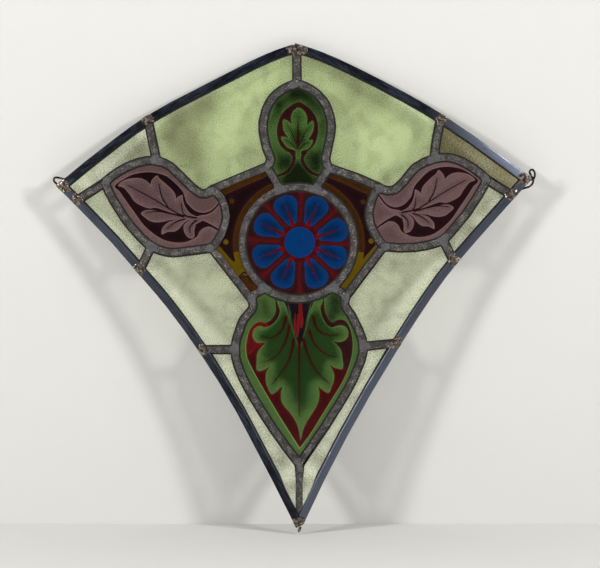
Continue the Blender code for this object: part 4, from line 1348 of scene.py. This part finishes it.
class GLASSPANEL_OT_pale_glass(bpy.types.Operator):
    """Glaze the pale background"""
    bl_idname = "glass_panel.pale_glass"
    bl_label = "Pale Glass"

    def execute(self, context):
        for nodes, glass in ((PALE_PANES, pale_cathedral_glass()),
                             (CREAM_PANES, cream_cathedral_glass()),
                             (MATTED_PANES, matted_cathedral_glass())):
            for node in nodes:
                painted_pane(node, {"pale": glass}, [], dusk=MATT_AND_SHADOW_PATCHES[node],
                             grain_mm=PALE_GRAIN)
        return {"FINISHED"}


class GLASSPANEL_OT_painted_glass(bpy.types.Operator):
    """Paint and glaze the crown, the leaves, the heart, the rosette and the spandrels"""
    bl_idname = "glass_panel.painted_glass"
    bl_label = "Painted Glass"

    def execute(self, context):
        paint_crown()
        paint_leaves()
        paint_heart()
        paint_rosette()
        paint_spandrels()
        return {"FINISHED"}


class GLASSPANEL_OT_wires(bpy.types.Operator):
    """Round and roughen the hanging wires and the lump of solder at the foot"""
    bl_idname = "glass_panel.wires"
    bl_label = "Wires and Foot"

    def execute(self, context):
        for node, slot_name, metal in (("wire_loop_left", "wire", wire_metal()),
                                       ("wire_loop_right", "wire", wire_metal()),
                                       ("solder_foot", "solder", solder())):
            piece = finish_piece("dressed_" + node, merged_copy(node), [metal], [node])
            smooth = piece.modifiers.new("rounding", "SUBSURF")
            smooth.levels = 2
            smooth.render_levels = 2
        return {"FINISHED"}


class GLASSPANEL_OT_stage(bpy.types.Operator):
    """Set the floor, the pale wall, the lights and the camera"""
    bl_idname = "glass_panel.stage"
    bl_label = "Stage"

    def execute(self, context):
        make_stage()
        make_lights()
        make_camera()
        return {"FINISHED"}


def stage_plane(name, corners, colour, one_sided=False):
    """A flat piece of the stage. A one-sided piece is clear from behind."""
    mesh = bmesh.new()
    made = bmesh.ops.create_grid(mesh, x_segments=1, y_segments=1, size=1.0)
    for vert, corner in zip(made["verts"], corners):
        vert.co = corner
    data = bpy.data.meshes.new(name)
    mesh.to_mesh(data)
    mesh.free()
    plane = bpy.data.objects.new(name, data)
    bpy.context.scene.collection.objects.link(plane)
    material, tree, coords = new_material(name + " paint")
    stipple = add_node(tree, "ShaderNodeTexNoise", inputs={
        "Vector": coords, "Scale": per_metre(30.0), "Detail": 3.0})
    tone = add_node(tree, "ShaderNodeMix", OF_COLOURS, {
        SHARE: stipple, UNDER: colour, OVER: shade(colour, 0.98)}, MIXED)
    surface = add_node(tree, "ShaderNodeBsdfDiffuse", inputs={"Color": tone})
    if one_sided:
        behind = add_node(tree, "ShaderNodeNewGeometry", output="Backfacing")
        clear = add_node(tree, "ShaderNodeBsdfTransparent")
        surface = add_node(tree, "ShaderNodeMixShader", inputs={0: behind, 1: surface, 2: clear})
    add_node(tree, "ShaderNodeOutputMaterial", inputs={"Surface": surface})
    data.materials.append(material)


FLOOR_LEVEL = -0.4865
FLOOR_HALF = 3.0
WALL_HALF_WIDTH = 1.6
WALL_TOP = 1.1
WALL_LEAN = 0.17
WALL_GAP = 0.006


def make_stage():
    """A pale floor, and a pale wall that the panel leans against: near at the top and further off
    at the foot, painted on the side that faces the panel and open from behind."""
    foot = WALL_GAP - WALL_LEAN * FLOOR_LEVEL
    head = WALL_GAP - WALL_LEAN * WALL_TOP
    stage_plane("floor", [(x, y, FLOOR_LEVEL) for y in (-FLOOR_HALF, FLOOR_HALF)
                          for x in (-FLOOR_HALF, FLOOR_HALF)], linear("#e2e1de"))
    stage_plane("wall", [(x, y, z) for y, z in ((foot, FLOOR_LEVEL), (head, WALL_TOP))
                         for x in (-WALL_HALF_WIDTH, WALL_HALF_WIDTH)], linear("#dad9d6"),
                one_sided=True)


def make_lights():
    """A large soft lamp on each side and an even pale surround."""
    for name, place, power, size in (("left softbox", (-1.5, -1.7, 0.4), 26.0, 0.32),
                                     ("right softbox", (1.5, -1.7, 0.4), 26.0, 0.32),
                                     ("top softbox", (0.0, -1.2, 1.5), 9.0, 0.8)):
        data = bpy.data.lights.new(name, "AREA")
        data.energy = power
        data.shape = "DISK"
        data.size = size
        lamp = bpy.data.objects.new(name, data)
        lamp.location = place
        aim = Vector((0.0, 0.0, -0.24)) - lamp.location
        lamp.rotation_euler = aim.to_track_quat("-Z", "Y").to_euler()
        bpy.context.scene.collection.objects.link(lamp)
    world = bpy.data.worlds.new("pale surround")
    world.use_nodes = True
    background = world.node_tree.nodes["Background"]
    background.inputs["Color"].default_value = (0.8, 0.81, 0.82, 1.0)
    background.inputs["Strength"].default_value = 0.2
    bpy.context.scene.world = world
    bpy.context.scene.view_settings.view_transform = "Standard"


def make_camera():
    """A camera square to the panel, whose frame is as wide as the cartoon's sheet."""
    sensor = 36.0
    distance = 2.0
    data = bpy.data.cameras.new("camera")
    data.sensor_width = sensor
    data.lens = sensor * distance / (SHEET_WIDTH * MM)
    camera = bpy.data.objects.new("camera", data)
    middle = on_panel(SHEET_WIDTH / 2.0, SHEET_HEIGHT / 2.0, LEAD_FRONT / 2.0)
    camera.location = middle - Vector((0.0, distance, 0.0))
    camera.rotation_euler = (math.radians(90.0), 0.0, 0.0)
    bpy.context.scene.collection.objects.link(camera)
    bpy.context.scene.camera = camera


OPERATORS = (GLASSPANEL_OT_leads, GLASSPANEL_OT_solder, GLASSPANEL_OT_cement,
             GLASSPANEL_OT_pale_glass, GLASSPANEL_OT_painted_glass, GLASSPANEL_OT_wires,
             GLASSPANEL_OT_stage)


class VIEW3D_PT_glass_panel(bpy.types.Panel):
    """Lists the steps and the choices"""
    bl_idname = "VIEW3D_PT_glass_panel"
    bl_label = "Glass Panel"
    bl_space_type = "VIEW_3D"
    bl_region_type = "UI"
    bl_category = "Glass Panel"

    def draw(self, context):
        for operator in OPERATORS:
            self.layout.operator(operator.bl_idname)
        for group in (context.scene.glass_panel_sizes, context.scene.glass_panel_colours):
            for name in group.__annotations__:
                self.layout.prop(group, name)


CLASSES = (GlassPanelSizes, GlassPanelColours, *OPERATORS, VIEW3D_PT_glass_panel)


def register():
    """Register the classes and the choices kept on the scene."""
    for item in CLASSES:
        bpy.utils.register_class(item)
    bpy.types.Scene.glass_panel_sizes = bpy.props.PointerProperty(type=GlassPanelSizes)
    bpy.types.Scene.glass_panel_colours = bpy.props.PointerProperty(type=GlassPanelColours)


def unregister():
    """Take the choices and the classes away again."""
    del bpy.types.Scene.glass_panel_colours
    del bpy.types.Scene.glass_panel_sizes
    for item in reversed(CLASSES):
        bpy.utils.unregister_class(item)


def main():
    """Dress the panel."""
    register()
    bpy.ops.glass_panel.stage()
    bpy.ops.glass_panel.leads()
    bpy.ops.glass_panel.solder()
    bpy.ops.glass_panel.cement()
    bpy.ops.glass_panel.pale_glass()
    bpy.ops.glass_panel.painted_glass()
    bpy.ops.glass_panel.wires()


if __name__ == "__main__":
    main()
